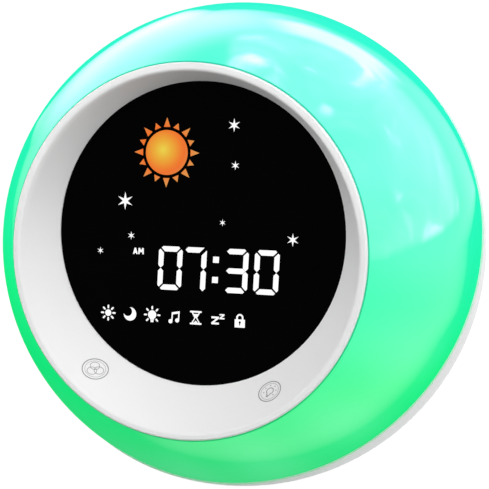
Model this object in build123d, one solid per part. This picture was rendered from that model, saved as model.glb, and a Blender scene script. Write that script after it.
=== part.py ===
from build123d import *
import math
import os

os.makedirs("parts", exist_ok=True)

# A bedside clock and night light: a ball with a dished face at the front, a translucent lamp dome round
# it, and a white shell with the keys, the speaker and the battery bay at the back.
# +Z is up and the face looks towards -Y. The origin is the centre of the foot pad's underside.

# ------------------------------------------------------------------ driving dimensions, mm
body_r = 72.5  # the ball, over the rear shell
seam_step = 0.5  # the dome is this much smaller in radius at the seam
dome_wall = 2.2
shell_wall = 2.2
ring_r = 51.2  # the dome's front opening
back_panel_r = 54.4  # the circle where the flat back cuts the ball
base_r = 24.6  # the circle where the flat base cuts the ball
face_tilt = 10.0  # the face leans back from vertical, degrees
seam_tilt = 28.2  # the seam between dome and shell leans back from vertical, degrees
rim_round = 3.0  # rounding of the back panel and the base
edge_round = 0.4  # rounding of small edges

lip_height = 0.6  # the bezel's lip stands this much in front of the dome's edge
lip_width = 2.3
lip_outer_edge = 0.4
lip_inner_round = 0.8
ledge_drop = 1.7  # from the dome's front edge down to the ledge that carries the bezel
ledge_width = 1.4
ledge_t = 2.0
dish_depth = 11.2  # from the dome's front edge back to the display opening
display_r = 42.2  # the visible display
display_raise = 4.5  # the display sits this much above the face's centre
display_land = 0.6  # thickness of the land that holds the lens

lens_cover = 1.4  # the lens reaches this far behind the dish all round
lens_t = 1.5
film_t = 0.3
lightbox_t = 6.0
board_t = 1.6
skirt_wall = 2.0
touch_room = 4.2  # the display board stands this much outside the bezel's skirt

seam_overlap = 4.0  # the dome's spigot goes this far into the shell
spigot_wall = 1.8
flange_t = 2.0
flange_drop = 6.0  # from the seam back to the chassis flange
flange_room = 1.5  # from the spigot in to the flange
bowl_taper = 5.6  # the reflector bowl narrows towards the back by this many degrees a side
bowl_wall = 1.6
bowl_room = 0.6  # round the display board, at the bowl's front edge
bowl_web_t = 1.8
bowl_window_r = 30.0
light_board_width = 8.0
light_board_t = 1.2
light_count = 12
light_size = 5.0
light_t = 1.6
light_dimple_r = 1.9
light_dimple_depth = 0.5
light_board_inset = 1.5  # from the flange's edge in to the lamp board's
housing_screw_angles = (19.0, 161.0, 225.0, 315.0)
housing_screw_inset = 5.5  # from the flange's edge in to the housing screws
housing_boss_length = 6.0
housing_screw_length = 10.0
housing_screw_seat = 4.2  # thickness of the column's end that a housing screw clamps

digit_centres = (-8.2, -0.4, 11.2, 20.2)
digit_middle = -5.6
digit_w = 7.0
digit_h = 12.3
segment_w = 1.6
segment_gap = 0.2
digit_lean = 1.5  # degrees
colon_x = 5.3
colon_heights = (-2.7, -8.3)
icon_count = 7
icon_first_x = -26.6
icon_pitch = 6.58
icon_height = -19.0
icon_window_r = 2.5
sun_centre = (-9.9, 26.6)
sun_window_r = 9.6
star_windows = (  # across, up, radius
    (9.8, 34.4, 1.9),
    (10.4, 23.4, 1.3),
    (-22.2, 12.8, 2.5),
    (7.0, 7.6, 1.0),
    (-20.2, 3.1, 1.2),
    (-29.6, -1.5, 1.1),
    (27.3, 3.6, 1.7),
)
touch_angles = (-125.1, -60.4)  # round the display's centre, degrees
touch_d = 7.6
touch_wire = 0.5
led_w = 1.0
led_h = 0.6
led_t = 0.5
sun_led_count = 4
display_screw_length = 8.0

key_names = ("key_alarm", "key_time", "key_up", "key_down", "key_snooze")
key_pitch = 13.5
key_row_z = -1.0
key_d = 8.0
key_proud = 1.2
key_travel = 0.6
key_flange_t = 1.0
key_flange_width = 1.0
stem_d = 3.6
stem_length = 1.4
plunger_d = 3.0
plunger_length = 2.6
switch_size = 6.2
switch_base_t = 0.6
key_board_height = 11.5
key_board_end = 12.0  # the key board reaches this far past the outer keys' middles
key_board_screw_length = 7.0

speaker_edge = 8.4  # from the panel's edge in to the speaker
speaker_r = 20.0
speaker_rim = 2.5
grille_hole_d = 3.0
grille_pitch = 5.6
grille_rings = 2
gasket_t = 1.5
basket_t = 1.0
basket_depth = 9.0
magnet_r = 10.5
magnet_t = 5.0
pole_r = 5.3
cone_neck_r = 6.5
paper_t = 0.5
washer_r = 4.0  # the washers that clamp the speaker's rim
washer_t = 0.6
speaker_screw_length = 3.8
locating_ring_t = 1.2  # the wall that centres the speaker
surround_w = 3.0  # the rolled edge between the cone and the rim
surround_rise = 0.3
cone_lift = 3.5  # from the basket's back to the cone's neck
pole_height = 3.0
basket_window = 8.0
dust_cap_rise = 2.0

cell_d = 10.5  # AAA cells, which keep the clock's time when it is unplugged
cell_length = 44.5
cell_count = 3
cell_gap = 0.4
contact_room = 4.0
bay_clear = 0.8  # from the keys' flanges to the bay's frame
bay_wall = 1.6
door_t = 2.0
door_margin = 2.5  # the door overlaps the bay's opening by this much
door_rail = 0.7
cell_ridge_w = 1.6  # low ridges between the cells on the bay's floor
cell_ridge_h = 1.4
cell_button_r = 1.9
cell_button_h = 1.0
contact_t = 0.4
contact_size = 8.0
contact_bump_r = 2.2
spring_wire = 0.6
spring_r = 3.6
spring_turns = 2
grip_w = 16.0  # the door's thumb recess
grip_h = 6.0
grip_depth = 0.5
grip_drop = 7.0  # from the door's top edge down to the recess
grip_rib_w = 13.0
grip_rib_h = 0.8
grip_rib_pitch = 1.8
grip_rib_sink = 0.1  # the ribs stay this much below the door's outside

main_board_w = 58.0
main_board_h = 36.0
board_post = 4.0
board_screw_inset = 4.0
main_screw_length = 5.0
header_w = 6.0
header_h = 4.5
header_t = 5.0
header_wall = 0.7
header_floor = 1.5
header_drop = 13.0  # from the board's middle down to the row of wire headers
header_places = (-14.0, -2.0, 18.0)

usb_edge = 11.8  # from the panel's edge in to the socket's middle
usb_z = -18.0
usb_w = 8.9
usb_h = 3.2
usb_length = 7.4
usb_metal_t = 0.3
usb_set_back = 1.0  # the socket's mouth lies this far below the panel's surface
usb_finger_room = 4.0  # the plug's grip goes into a recess this much larger than the socket
usb_tongue_t = 0.7
usb_tongue_gap = 0.85  # beside the socket's tongue
usb_tongue_back = 1.0  # the tongue ends this far inside the mouth
usb_board_w = 13.0
usb_board_side = 0.5  # the shelf is this much wider than its board on each side
usb_board_length = 15.0
usb_shelf_t = 2.0
usb_web_t = 1.4
usb_web = 6.0
usb_screw_x = 4.5
usb_screw_depth = -12.0
usb_screw_length = 3.4

pad_r = 21.0
pad_proud = 1.0
pad_recess = 0.8
pad_groove = 0.4
pad_groove_inset = 3.0
pad_groove_w = 2.0

# ------------------------------------------------------------------ named clearances
slide_gap = 0.3  # between a moving piece and its guide
fit_gap = 0.2  # between pieces that drop into each other
spigot_gap = 0.3
pilot_gap = 0.05  # round a screw's thread in its pilot hole
screw_r = 1.3
small_screw_r = 1.0
boss_wall = 1.7
head_t = 1.4
head_ratio = 1.9  # a screw head's radius by its thread's

# ------------------------------------------------------------------ derived sizes
dome_r = body_r - seam_step
dome_in_r = dome_r - dome_wall
shell_in_r = body_r - shell_wall
back_y = math.sqrt(body_r**2 - back_panel_r**2)
panel_in = back_y - shell_wall
base_drop = math.sqrt(body_r**2 - base_r**2)
centre_z = base_drop + pad_proud
face_n = math.sqrt(dome_r**2 - ring_r**2)
lip_n = face_n + lip_height
ledge_n = face_n - ledge_drop
ledge_r = ring_r - ledge_width
display_n = face_n - dish_depth
lens_n = display_n - display_land
film_n = lens_n - lens_t
box_n = film_n - film_t
board_n = box_n - lightbox_t
board_back_n = board_n - board_t
lip_r = ring_r - fit_gap
lip_in_r = lip_r - lip_width
lens_r = display_r + lens_cover
skirt_r = lens_r + fit_gap + skirt_wall
display_board_r = skirt_r + touch_room
bowl_front_r = display_board_r + bowl_room + bowl_wall
display_screw_r = display_board_r - small_screw_r - boss_wall
display_screw_angles = (45.0, 135.0, 225.0, 315.0)
touch_centre_r = (skirt_r + display_board_r) / 2
touch_coil_r = (display_board_r - skirt_r - touch_wire) / 2 - fit_gap
touch_boss_n = film_n  # the bosses that the touch springs press on end here
flange_s = -flange_drop
flange_back_s = flange_s - flange_t
spigot_r = math.sqrt(shell_in_r**2 - seam_overlap**2) - spigot_gap
spigot_in_r = spigot_r - spigot_wall
flange_r = spigot_in_r - flange_room
light_board_r = flange_r - light_board_inset
light_screw_r = light_board_r - light_board_width / 2
housing_screw_r = flange_r - housing_screw_inset
boss_end_s = flange_back_s - housing_boss_length
bay_w = cell_length + 2 * contact_room
cell_pitch = cell_d + cell_gap
bay_h = cell_count * cell_pitch + 0.5
key_flange_r = key_d / 2 + key_flange_width
frame_top_z = key_row_z - key_flange_r - bay_clear
door_top_z = frame_top_z - bay_wall
bay_z = door_top_z - door_margin - bay_h / 2
ledge_y = back_y - door_t - fit_gap
bay_floor = ledge_y - cell_d - fit_gap
door_w = bay_w + 2 * door_margin
board_top = bay_floor - bay_wall - board_post  # the main board's face towards the bay
board_bottom = board_top - board_t
usb_board_top = usb_z - usb_h / 2
usb_x = math.sqrt(back_panel_r**2 - usb_z**2) - usb_edge
key_pin_depth = key_flange_t + stem_length
plunger_end = key_pin_depth + plunger_length
switch_floor = plunger_end + key_travel + slide_gap
key_board_depth = switch_floor + switch_base_t
switch_open = key_pin_depth + key_travel + slide_gap  # the stem stops short of the switch
key_board_w = (len(key_names) - 1) * key_pitch + 2 * key_board_end
key_board_screw_x = key_board_w / 2 - small_screw_r - boss_wall
speaker_post_r = speaker_r + small_screw_r + boss_wall + fit_gap
speaker_throat = speaker_r - speaker_rim
rim_back = -gasket_t - basket_t  # the back of the speaker's rim, from the panel
basket_back = -gasket_t - basket_depth
speaker_z = back_panel_r - speaker_edge - speaker_r
far = 3 * body_r

CENTRE = (0, 0, centre_z)


def leaning(degrees):
    """A plane through the ball's centre: X to the right, Y up the face, Z forward out of it."""
    lean = math.radians(degrees)
    return Plane(origin=CENTRE, x_dir=(1, 0, 0), z_dir=(0, -math.cos(lean), math.sin(lean)))


FACE = leaning(face_tilt)
SEAM = leaning(seam_tilt)
BACK = Plane(origin=CENTRE, x_dir=(-1, 0, 0), z_dir=(0, 1, 0))  # as seen from behind
PANEL = BACK.offset(panel_in)  # the inside of the back panel
UPWARD = (Align.CENTER, Align.CENTER, Align.MIN)


# ------------------------------------------------------------------ helpers
def on(plane, shape):
    """Carry a shape from a plane's own coordinates to the clock's."""
    return plane.location * shape


def rod(radius, low, high, x=0.0, y=0.0):
    """A round bar along local Z."""
    return Pos(x, y, low) * Cylinder(radius, high - low, align=UPWARD)


def tube(outer, inner, low, high, x=0.0, y=0.0):
    return rod(outer, low, high, x, y) - rod(inner, low, high, x, y)


def block(width, height, low, high, x=0.0, y=0.0):
    """A rectangular bar along local Z."""
    return Pos(x, y, low) * Box(width, height, high - low, align=UPWARD)


def plate(width, height, low, high, corner, x=0.0, y=0.0):
    """A flat plate with rounded corners."""
    outline = Pos(x, y, low) * RectangleRounded(width, height, corner)
    return extrude(outline, high - low)


def flat(left, right, bottom, top):
    """A rectangle from its sides."""
    return Pos((left + right) / 2, (bottom + top) / 2) * Rectangle(right - left, top - bottom)


def ball(radius):
    """A ball about the clock's centre, with its poles on the face's axis."""
    return on(FACE, Sphere(radius))


def in_front(height):
    """Everything with a local Z above height."""
    return block(far, far, height, height + far)


def polar(radius, degrees):
    angle = math.radians(degrees)
    return radius * math.cos(angle), radius * math.sin(angle)


def disc(radius, height, y=0.0):
    """A flat circle for lofting, in a plane's own coordinates."""
    return Pos(0, y, height) * Circle(radius)


def circles(shape, radius):
    """The edges of a shape that are circles of this radius."""
    return [e for e in shape.edges().filter_by(GeomType.CIRCLE) if abs(e.radius - radius) < 0.01]


def group(shapes):
    return Compound(children=[solid for shape in shapes for solid in shape.solids()])


def write(name, shape):
    shape.label = name
    export_step(shape, "parts/" + name + ".step")


def pan_screw(radius, length, x=0.0, y=0.0, low=0.0):
    """A pan-head screw: its thread points along +Z from its head's underside."""
    return Pos(x, y, low) * (rod(radius, 0, length) + rod(radius * head_ratio, -head_t, 0))


# ------------------------------------------------------------------ lamp dome and bezel
def dome_profile():
    """The dome's section beside the face's axis, with the ledge that carries the bezel."""
    section = Circle(dome_r) - Circle(dome_in_r)
    section += flat(ledge_r, ring_r + ledge_t, ledge_n - ledge_t, ledge_n) & Circle(dome_r - dome_wall / 4)
    section -= flat(-far, ledge_r, 0, far)
    section -= flat(-far, ring_r, ledge_n, far)
    section -= flat(-far, 0, -far, far)
    rim = section.vertices().sort_by_distance((ring_r, face_n))[0]
    return chamfer(rim, edge_round)


def lamp_dome():
    """Translucent shell from the seam to the face, with a ledge for the bezel and a spigot at the seam."""
    shell = on(FACE, revolve(Plane.XZ * dome_profile(), Axis.Z))
    shell &= on(SEAM, in_front(0))
    spigot = tube(spigot_r, spigot_in_r, -seam_overlap, 0)
    spigot += tube(dome_in_r + dome_wall / 2, spigot_in_r, 0, seam_overlap)
    tip = [e for e in circles(spigot, spigot_in_r) if e.arc_center.Z > 0]
    return shell + on(SEAM, chamfer(tip, spigot_wall * 0.8))


def dish(low, high):
    """The dish as a solid: an oblique cone from the lip down to the raised display."""

    def outline(height):
        share = (face_n - height) / dish_depth
        return disc(lip_in_r + (display_r - lip_in_r) * share, height, display_raise * share)

    return loft([outline(low), outline(high)], ruled=True)


def face_bezel():
    """White ring and dish, with the display's seat, its screw bosses and the touch key bosses behind."""
    body = rod(lip_r, ledge_n, lip_n)
    body += loft([disc(skirt_r, film_n, display_raise), disc(ledge_r - fit_gap, ledge_n)], ruled=True)
    body -= dish(display_n, lip_n + 1.0)
    lip_edges = body.faces().sort_by(Axis.Z)[-1].edges().sort_by(SortBy.LENGTH)
    body = fillet(lip_edges[0], lip_inner_round)
    lip_edges = body.faces().sort_by(Axis.Z)[-1].edges().sort_by(SortBy.LENGTH)
    body = chamfer(lip_edges[-1], lip_outer_edge)
    skirt = rod(skirt_r, board_n, film_n + 1.0, y=display_raise)
    for angle in display_screw_angles:
        x, y = polar(display_screw_r, angle)
        skirt += rod(small_screw_r + boss_wall, board_n, lens_n + 2.0, x, y + display_raise)
    for angle in touch_angles:
        x, y = polar(touch_centre_r, angle)
        skirt += rod(touch_d / 2 - edge_round, touch_boss_n, ledge_n, x, y + display_raise)
    body += skirt - dish(display_n - lens_t, lip_n)
    body -= rod(display_r, board_n, display_n + 0.05, y=display_raise)
    body -= rod(lens_r + fit_gap, board_n, lens_n, y=display_raise)
    for angle in display_screw_angles:
        x, y = polar(display_screw_r, angle)
        body -= rod(small_screw_r + pilot_gap, board_n, lens_n - 0.5, x, y + display_raise)
    return on(FACE, body)


# ------------------------------------------------------------------ display
def display_lens():
    lens = rod(lens_r, film_n, lens_n, y=display_raise)
    return on(FACE, chamfer(circles(lens, lens_r), 0.15))


def picture_film():
    return on(FACE, rod(lens_r, box_n, film_n, y=display_raise))


def segment(length, upright):
    """One bar of a seven-segment digit, with pointed ends."""
    half, side = length / 2, segment_w / 2
    bar = Polygon((-half, 0), (side - half, -side), (half - side, -side), (half, 0),
                  (half - side, side), (side - half, side), align=None)
    return Rot(0, 0, 90) * bar if upright else bar


def digit_bars():
    """All seven bars of one digit about its middle."""
    across = digit_w - segment_w
    rise = (digit_h - segment_w) / 2
    bars = [Pos(0, k * rise) * segment(across - segment_gap, False) for k in (-1, 0, 1)]
    for side in (-1, 1):
        for k in (-0.5, 0.5):
            bars.append(Pos(side * across / 2, k * rise) * segment(rise - segment_gap, True))
    return bars


def display_windows():
    """Every window of the light box, as flat shapes in the face's coordinates."""
    windows = []
    for centre in digit_centres:
        for bar in digit_bars():
            middle = bar.center()
            lean = middle.Y * math.tan(math.radians(digit_lean))
            windows.append(Pos(centre + lean, digit_middle) * bar)
    for height in colon_heights:
        windows.append(Pos(colon_x, height) * Rectangle(segment_w, segment_w))
    for k in range(icon_count):
        windows.append(Pos(icon_first_x + k * icon_pitch, icon_height) * Circle(icon_window_r))
    for across, up, radius in star_windows:
        windows.append(Pos(across, up) * RegularPolygon(radius, 6))
    windows.append(Pos(*sun_centre) * Circle(sun_window_r))
    return windows


def segment_lightbox():
    """White reflector block with a light well behind every digit bar, icon and picture."""
    box = rod(lens_r, board_n, box_n, y=display_raise)
    wells = [extrude(Pos(0, 0, board_n) * window, lightbox_t) for window in display_windows()]
    return on(FACE, box - wells)


def display_leds():
    """One chip at the foot of every light well, and several for the sun."""
    chips = []
    for window in display_windows():
        middle = window.center()
        offsets = [(0, 0)]
        if window.bounding_box().size.X > 3 * icon_window_r:
            step = 360.0 / sun_led_count
            offsets = [polar(sun_window_r / 2, (k + 0.5) * step) for k in range(sun_led_count)]
        for x, y in offsets:
            chips.append(block(led_w, led_h, board_n, board_n + led_t, middle.X + x, middle.Y + y))
    return on(FACE, group(chips))


def display_board():
    board = rod(display_board_r, board_back_n, board_n, y=display_raise)
    for angle in display_screw_angles:
        x, y = polar(display_screw_r, angle)
        board -= rod(small_screw_r + fit_gap, board_back_n, board_n, x, y + display_raise)
    return on(FACE, board)


def display_screws():
    """These hold the chassis web and the display board to the bezel's bosses."""
    screws = []
    for angle in display_screw_angles:
        x, y = polar(display_screw_r, angle)
        screws.append(pan_screw(small_screw_r, display_screw_length, x, y + display_raise,
                                board_back_n - bowl_web_t))
    return on(FACE, group(screws))


def touch_springs():
    """Coil contacts that stand on the display board and press on the bezel behind each touch key."""
    springs = []
    rise = touch_boss_n - board_n - touch_wire
    for angle in touch_angles:
        x, y = polar(touch_centre_r, angle)
        path = Helix(pitch=rise / 3, height=rise, radius=touch_coil_r)
        start = Plane(origin=path @ 0, z_dir=path % 0)
        coil = sweep(start * Rectangle(touch_wire, touch_wire), path=path)
        springs.append(Pos(x, y + display_raise, board_n + touch_wire / 2) * coil)
    return on(FACE, group(springs))


# ------------------------------------------------------------------ chassis and lamp
def bowl(front_r):
    """A solid cone about the display's axis that narrows towards the back, cut off behind the flange."""
    back_n = -board_n
    back_r = front_r - (board_n - back_n) * math.tan(math.radians(bowl_taper))
    cone = Pos(0, display_raise, back_n) * Cone(back_r, front_r, board_n - back_n, align=UPWARD)
    return on(FACE, cone) & on(SEAM, in_front(flange_back_s))


def light_chassis():
    """White reflector bowl with a flange at the seam: it carries the display, the bezel and the lamp ring."""
    inside = bowl(bowl_front_r - bowl_wall)
    flange = rod(flange_r, flange_back_s, flange_s)
    for angle in housing_screw_angles:
        x, y = polar(housing_screw_r, angle)
        flange += rod(screw_r + boss_wall, boss_end_s, flange_back_s, x, y)
    for angle in housing_screw_angles:
        x, y = polar(housing_screw_r, angle)
        flange -= rod(screw_r + pilot_gap, boss_end_s, flange_s - edge_round, x, y)
    for angle in light_screw_angles():
        x, y = polar(light_screw_r, angle)
        flange -= rod(small_screw_r + pilot_gap, flange_back_s, flange_s, x, y)
    web_n = board_back_n - bowl_web_t
    web = tube(bowl_front_r - bowl_wall, bowl_window_r, web_n, board_back_n, y=display_raise)
    for angle in display_screw_angles:
        x, y = polar(display_screw_r, angle)
        web -= rod(small_screw_r + fit_gap, 0, far, x, y + display_raise)
    body = on(SEAM, flange) + bowl(bowl_front_r)
    return body - inside + on(FACE, web)


def light_screw_angles():
    """The lamp ring's screws sit between its lights."""
    step = 360.0 / light_count
    return [step * (k * light_count / 4 + 0.5) for k in range(4)]


def light_board():
    ring = tube(light_board_r, light_board_r - light_board_width, flange_s, flange_s + light_board_t)
    for angle in light_screw_angles():
        x, y = polar(light_screw_r, angle)
        ring -= rod(small_screw_r + fit_gap, flange_s, flange_s + light_board_t, x, y)
    return on(SEAM, ring)


def colour_lights():
    low = flange_s + light_board_t
    chips = []
    for k in range(light_count):
        angle = 360.0 / light_count * k
        x, y = polar(light_screw_r, angle)
        chip = block(light_size, light_size, 0, light_t)
        chip -= rod(light_dimple_r, light_t - light_dimple_depth, light_t)
        chips.append(Pos(x, y, low) * Rot(0, 0, angle) * chip)
    return on(SEAM, group(chips))


def light_board_screws():
    screws = []
    for angle in light_screw_angles():
        x, y = polar(light_screw_r, angle)
        screw = Rot(180, 0, 0) * pan_screw(small_screw_r, light_board_t + flange_t - edge_round)
        screws.append(Pos(x, y, flange_s + light_board_t) * screw)
    return on(SEAM, group(screws))


# ------------------------------------------------------------------ rear shell
def rear_ball(radius, panel, floor):
    """The ball behind the seam, cut flat at the back and at the base."""
    body = ball(radius) - on(SEAM, in_front(0))
    body -= on(BACK, in_front(panel))
    body -= Pos(0, 0, floor) * Box(far, far, far, align=(Align.CENTER, Align.CENTER, Align.MAX))
    return body


def rear_outside():
    """The rear shell's outside, with a rounded rim at the back panel and at the base."""
    body = rear_ball(body_r, back_y, pad_proud)
    return fillet(circles(body, back_panel_r) + circles(body, base_r), rim_round)


def key_places():
    first = -(len(key_names) - 1) / 2 * key_pitch
    return [first + k * key_pitch for k in range(len(key_names))]


def grille_places():
    places = [(0.0, speaker_z)]
    for ring in range(1, grille_rings + 1):
        for k in range(6 * ring):
            x, y = polar(ring * grille_pitch, 360.0 / (6 * ring) * k)
            places.append((x, y + speaker_z))
    return places


def speaker_post_places():
    places = []
    for angle in (90.0, 210.0, 330.0):
        x, y = polar(speaker_post_r, angle)
        places.append((x, y + speaker_z))
    return places


def housing_columns(shrink):
    """Columns for the housing screws, or with shrink the wells inside them."""
    columns = []
    for angle in housing_screw_angles:
        x, y = polar(housing_screw_r, angle)
        outer = screw_r * head_ratio + fit_gap + boss_wall
        if shrink:
            head_s = boss_end_s + boss_wall - housing_screw_seat
            columns.append(rod(outer - boss_wall, -far, head_s, x, y))
            columns.append(rod(screw_r + fit_gap, head_s, boss_end_s, x, y))
        else:
            columns.append(rod(outer, -far, boss_end_s, x, y))
    return [on(SEAM, column) for column in columns]


def speaker_ring():
    """A low wall round the speaker's rim."""
    inner = speaker_r + fit_gap
    return tube(inner + locating_ring_t, inner, rim_back, 0, y=speaker_z)


def bay_room():
    """The room for the cells, with a low ridge between each two on its floor."""
    room = block(bay_w, bay_h, bay_floor, far, y=bay_z)
    ridge = block(cell_length / 2, cell_ridge_w, bay_floor, bay_floor + cell_ridge_h, y=-cell_pitch / 2)
    for z in cell_heights()[1:]:
        room -= Pos(0, z) * ridge
    return room


def rear_shell():
    """White rear half of the ball: key holes, speaker grille, battery bay, socket, columns and posts."""
    inside = rear_ball(shell_in_r, panel_in, pad_proud + shell_wall)
    filler = rear_ball(body_r - shell_wall / 2, back_y - shell_wall / 2, pad_proud + shell_wall / 2)
    shell = rear_outside() - inside
    fittings = housing_columns(False)
    frame_w = door_w + 2 * door_rail + 2 * bay_wall
    bay_outer_h = bay_h + 2 * bay_wall
    fittings.append(on(BACK, block(frame_w, far, ledge_y - bay_wall, panel_in, y=frame_top_z - far / 2)))
    bay_outer_w = bay_w + 2 * bay_wall
    fittings.append(on(BACK, block(bay_outer_w, bay_outer_h, bay_floor - bay_wall, ledge_y, y=bay_z)))
    fittings.append(on(PANEL, speaker_ring()))
    for x, z in speaker_post_places():
        fittings.append(on(PANEL, rod(small_screw_r + boss_wall, rim_back, 0, x, z)))
    for x in (-key_board_screw_x, key_board_screw_x):
        fittings.append(on(PANEL, rod(small_screw_r + boss_wall, -key_board_depth, 0, x, key_row_z)))
    fittings.append(usb_shelf())
    for x, z in main_board_posts():
        fittings.append(on(BACK, rod(small_screw_r + boss_wall, board_top, bay_floor - bay_wall, x, z)))
    for fitting in fittings:
        shell += fitting & filler
    for well in housing_columns(True):
        shell -= well
    shell -= door_blank(door_top_z, 0.0)
    shell -= on(BACK, bay_room())
    for x in key_places():
        shell -= on(PANEL, rod(key_d / 2 + slide_gap, -1, far, x, key_row_z))
    for x, z in grille_places():
        shell -= on(PANEL, rod(grille_hole_d / 2, -1, far, x, z))
    for x, z in speaker_post_places():
        shell -= on(PANEL, rod(small_screw_r + pilot_gap, rim_back, shell_wall / 2, x, z))
    for x in (-key_board_screw_x, key_board_screw_x):
        shell -= on(PANEL, rod(small_screw_r + pilot_gap, -key_board_depth, 0, x, key_row_z))
    for x, z in main_board_posts():
        shell -= on(BACK, rod(small_screw_r + pilot_gap, board_top, bay_floor - bay_wall, x, z))
    for room, low in ((2 * slide_gap, -1), (usb_finger_room, shell_wall - usb_set_back)):
        opening = plate(usb_w + room, usb_h + room, low, far, (usb_h + room) / 2 - 0.2, usb_x, usb_z)
        shell -= on(PANEL, opening)
    shell -= rod(pad_r + fit_gap, pad_proud, pad_proud + pad_recess)
    return shell


# ------------------------------------------------------------------ keys
def key_cap(x):
    """A round key with a flange behind the panel and a stem towards its switch."""
    cap = rod(key_d / 2, 0, shell_wall + key_proud, x, key_row_z)
    cap = chamfer([e for e in circles(cap, key_d / 2) if e.arc_center.Z > 1], edge_round)
    cap += rod(key_flange_r, -key_flange_t, 0, x, key_row_z)
    cap += rod(stem_d / 2, -key_pin_depth, 0, x, key_row_z)
    return on(PANEL, cap)


def key_plunger(x):
    return on(PANEL, rod(plunger_d / 2, -plunger_end, -key_pin_depth, x, key_row_z))


def tact_switches():
    cans = []
    for x in key_places():
        can = block(switch_size, switch_size, -key_board_depth, -switch_open, x, key_row_z)
        cans.append(can - rod(plunger_d / 2 + slide_gap, -switch_floor, 0, x, key_row_z))
    return on(PANEL, group(cans))


def key_board():
    board = plate(key_board_w, key_board_height, -key_board_depth - board_t, -key_board_depth, 1.0,
                  0, key_row_z)
    for x in (-key_board_screw_x, key_board_screw_x):
        board -= rod(small_screw_r + fit_gap, -far, far, x, key_row_z)
    return on(PANEL, board)


def key_board_screws():
    screws = [pan_screw(small_screw_r, key_board_screw_length, x, key_row_z, -key_board_depth - board_t)
              for x in (-key_board_screw_x, key_board_screw_x)]
    return on(PANEL, group(screws))


# ------------------------------------------------------------------ speaker
def speaker_frame():
    """Pressed steel basket with four windows."""
    rim = tube(speaker_r, speaker_throat, rim_back, -gasket_t, y=speaker_z)
    outer = Pos(0, speaker_z, basket_back) * Cone(
        magnet_r + 1.5, speaker_throat + basket_t / 2, basket_depth - basket_t / 2, align=UPWARD)
    inner = Pos(0, speaker_z, basket_back + basket_t) * Cone(
        magnet_r + 1.0, speaker_throat, basket_depth - basket_t, align=UPWARD)
    basket = outer - inner
    for angle in (45.0, 135.0):
        window = block(far, basket_window, basket_back + 2 * basket_t, -gasket_t - 2 * basket_t)
        basket -= Pos(0, speaker_z) * Rot(0, 0, angle) * window
    basket -= rod(pole_r + slide_gap, basket_back - 1.0, 0, y=speaker_z)
    return on(PANEL, rim + basket)


def speaker_magnet():
    """Ring magnet with its back plate, and the pole that stands in the voice coil."""
    body = rod(magnet_r, basket_back - magnet_t, basket_back, y=speaker_z)
    body += rod(pole_r, basket_back, basket_back + pole_height, y=speaker_z)
    return on(PANEL, body)


def speaker_cone():
    """Paper cone with a rolled surround and a dust cap."""
    edge = speaker_throat - fit_gap
    inner = edge - surround_w
    top = edge - surround_w / 2
    front = -gasket_t + paper_t
    foot = front - 2 * surround_rise
    low = basket_back + cone_lift
    upper = [(cone_neck_r, low), (inner, foot), (top, front + surround_rise), (edge, front)]
    lower = [(edge, front - paper_t), (top, front + surround_rise - paper_t), (inner, foot - paper_t),
             (cone_neck_r, low - paper_t)]
    cone = revolve(Plane.XZ * make_face(Polyline(*upper, *lower, close=True)), Axis.Z)
    cap = rod(cone_neck_r, low - paper_t, low)
    cap += Pos(0, 0, low) * Cone(cone_neck_r, cone_neck_r / 2, dust_cap_rise, align=UPWARD)
    return on(PANEL, Pos(0, speaker_z) * (cone + cap))


def speaker_gasket():
    return on(PANEL, tube(speaker_r, speaker_throat, -gasket_t, 0, y=speaker_z))


def speaker_screws():
    head = rim_back - washer_t
    screws = []
    for x, z in speaker_post_places():
        screw = pan_screw(small_screw_r, speaker_screw_length, x, z, head)
        screws.append(screw + rod(washer_r, head, rim_back, x, z))
    return on(PANEL, group(screws))


# ------------------------------------------------------------------ battery
def cell_heights():
    return [bay_z + (k - (cell_count - 1) / 2) * cell_pitch for k in range(cell_count)]


def cell_axis(k, z):
    """Place a shape whose local Z runs along one cell, from its flat end to its button."""
    turn = 90 if k % 2 == 0 else -90
    return BACK.location * Pos(0, z, bay_floor + cell_d / 2) * Rot(0, turn, 0)


def battery_cells():
    cells = []
    for k, z in enumerate(cell_heights()):
        can = rod(cell_d / 2, -cell_length / 2, cell_length / 2 - cell_button_h)
        can += rod(cell_button_r, -cell_length / 2, cell_length / 2)
        cells.append(cell_axis(k, z) * can)
    return group(cells)


def battery_springs():
    """Tapered coil springs at the flat end of each cell."""
    rise = contact_room - contact_t - fit_gap / 2 - spring_wire
    coils = []
    for k, z in enumerate(cell_heights()):
        path = Helix(pitch=rise / spring_turns, height=rise, radius=spring_r, cone_angle=-15)
        start = Plane(origin=path @ 0, z_dir=path % 0)
        coil = sweep(start * Rectangle(spring_wire, spring_wire), path=path)
        coils.append(cell_axis(k, z) * Pos(0, 0, -bay_w / 2 + contact_t + spring_wire / 2) * coil)
    return group(coils)


def battery_contacts():
    """Flat plates at both ends of the bay, behind the springs and at the buttons."""
    plates = []
    for k, z in enumerate(cell_heights()):
        low = block(contact_size, contact_size, -bay_w / 2, contact_t - bay_w / 2)
        high = block(contact_size, contact_size, bay_w / 2 - contact_t, bay_w / 2)
        button = rod(contact_bump_r, cell_length / 2, bay_w / 2)
        plates.append(cell_axis(k, z) * low)
        plates.append(cell_axis(k, z) * (high + button))
    return group(plates)


def door_blank(top, gap):
    """The door as a bar that runs down past the ball, with a rail on each side. gap makes it smaller."""
    rail_t = door_t / 3 + 2 * slide_gap - 2 * gap
    rail_middle = ledge_y + door_t / 2
    width = door_w + 2 * (door_rail + slide_gap)
    low = top - far / 2
    lift = gap * fit_gap / slide_gap
    cover = block(door_w - 2 * gap, far, ledge_y + lift, far, y=low)
    cover += block(width - 2 * gap, far, rail_middle - rail_t / 2, rail_middle + rail_t / 2, y=low)
    return on(BACK, cover)


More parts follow.
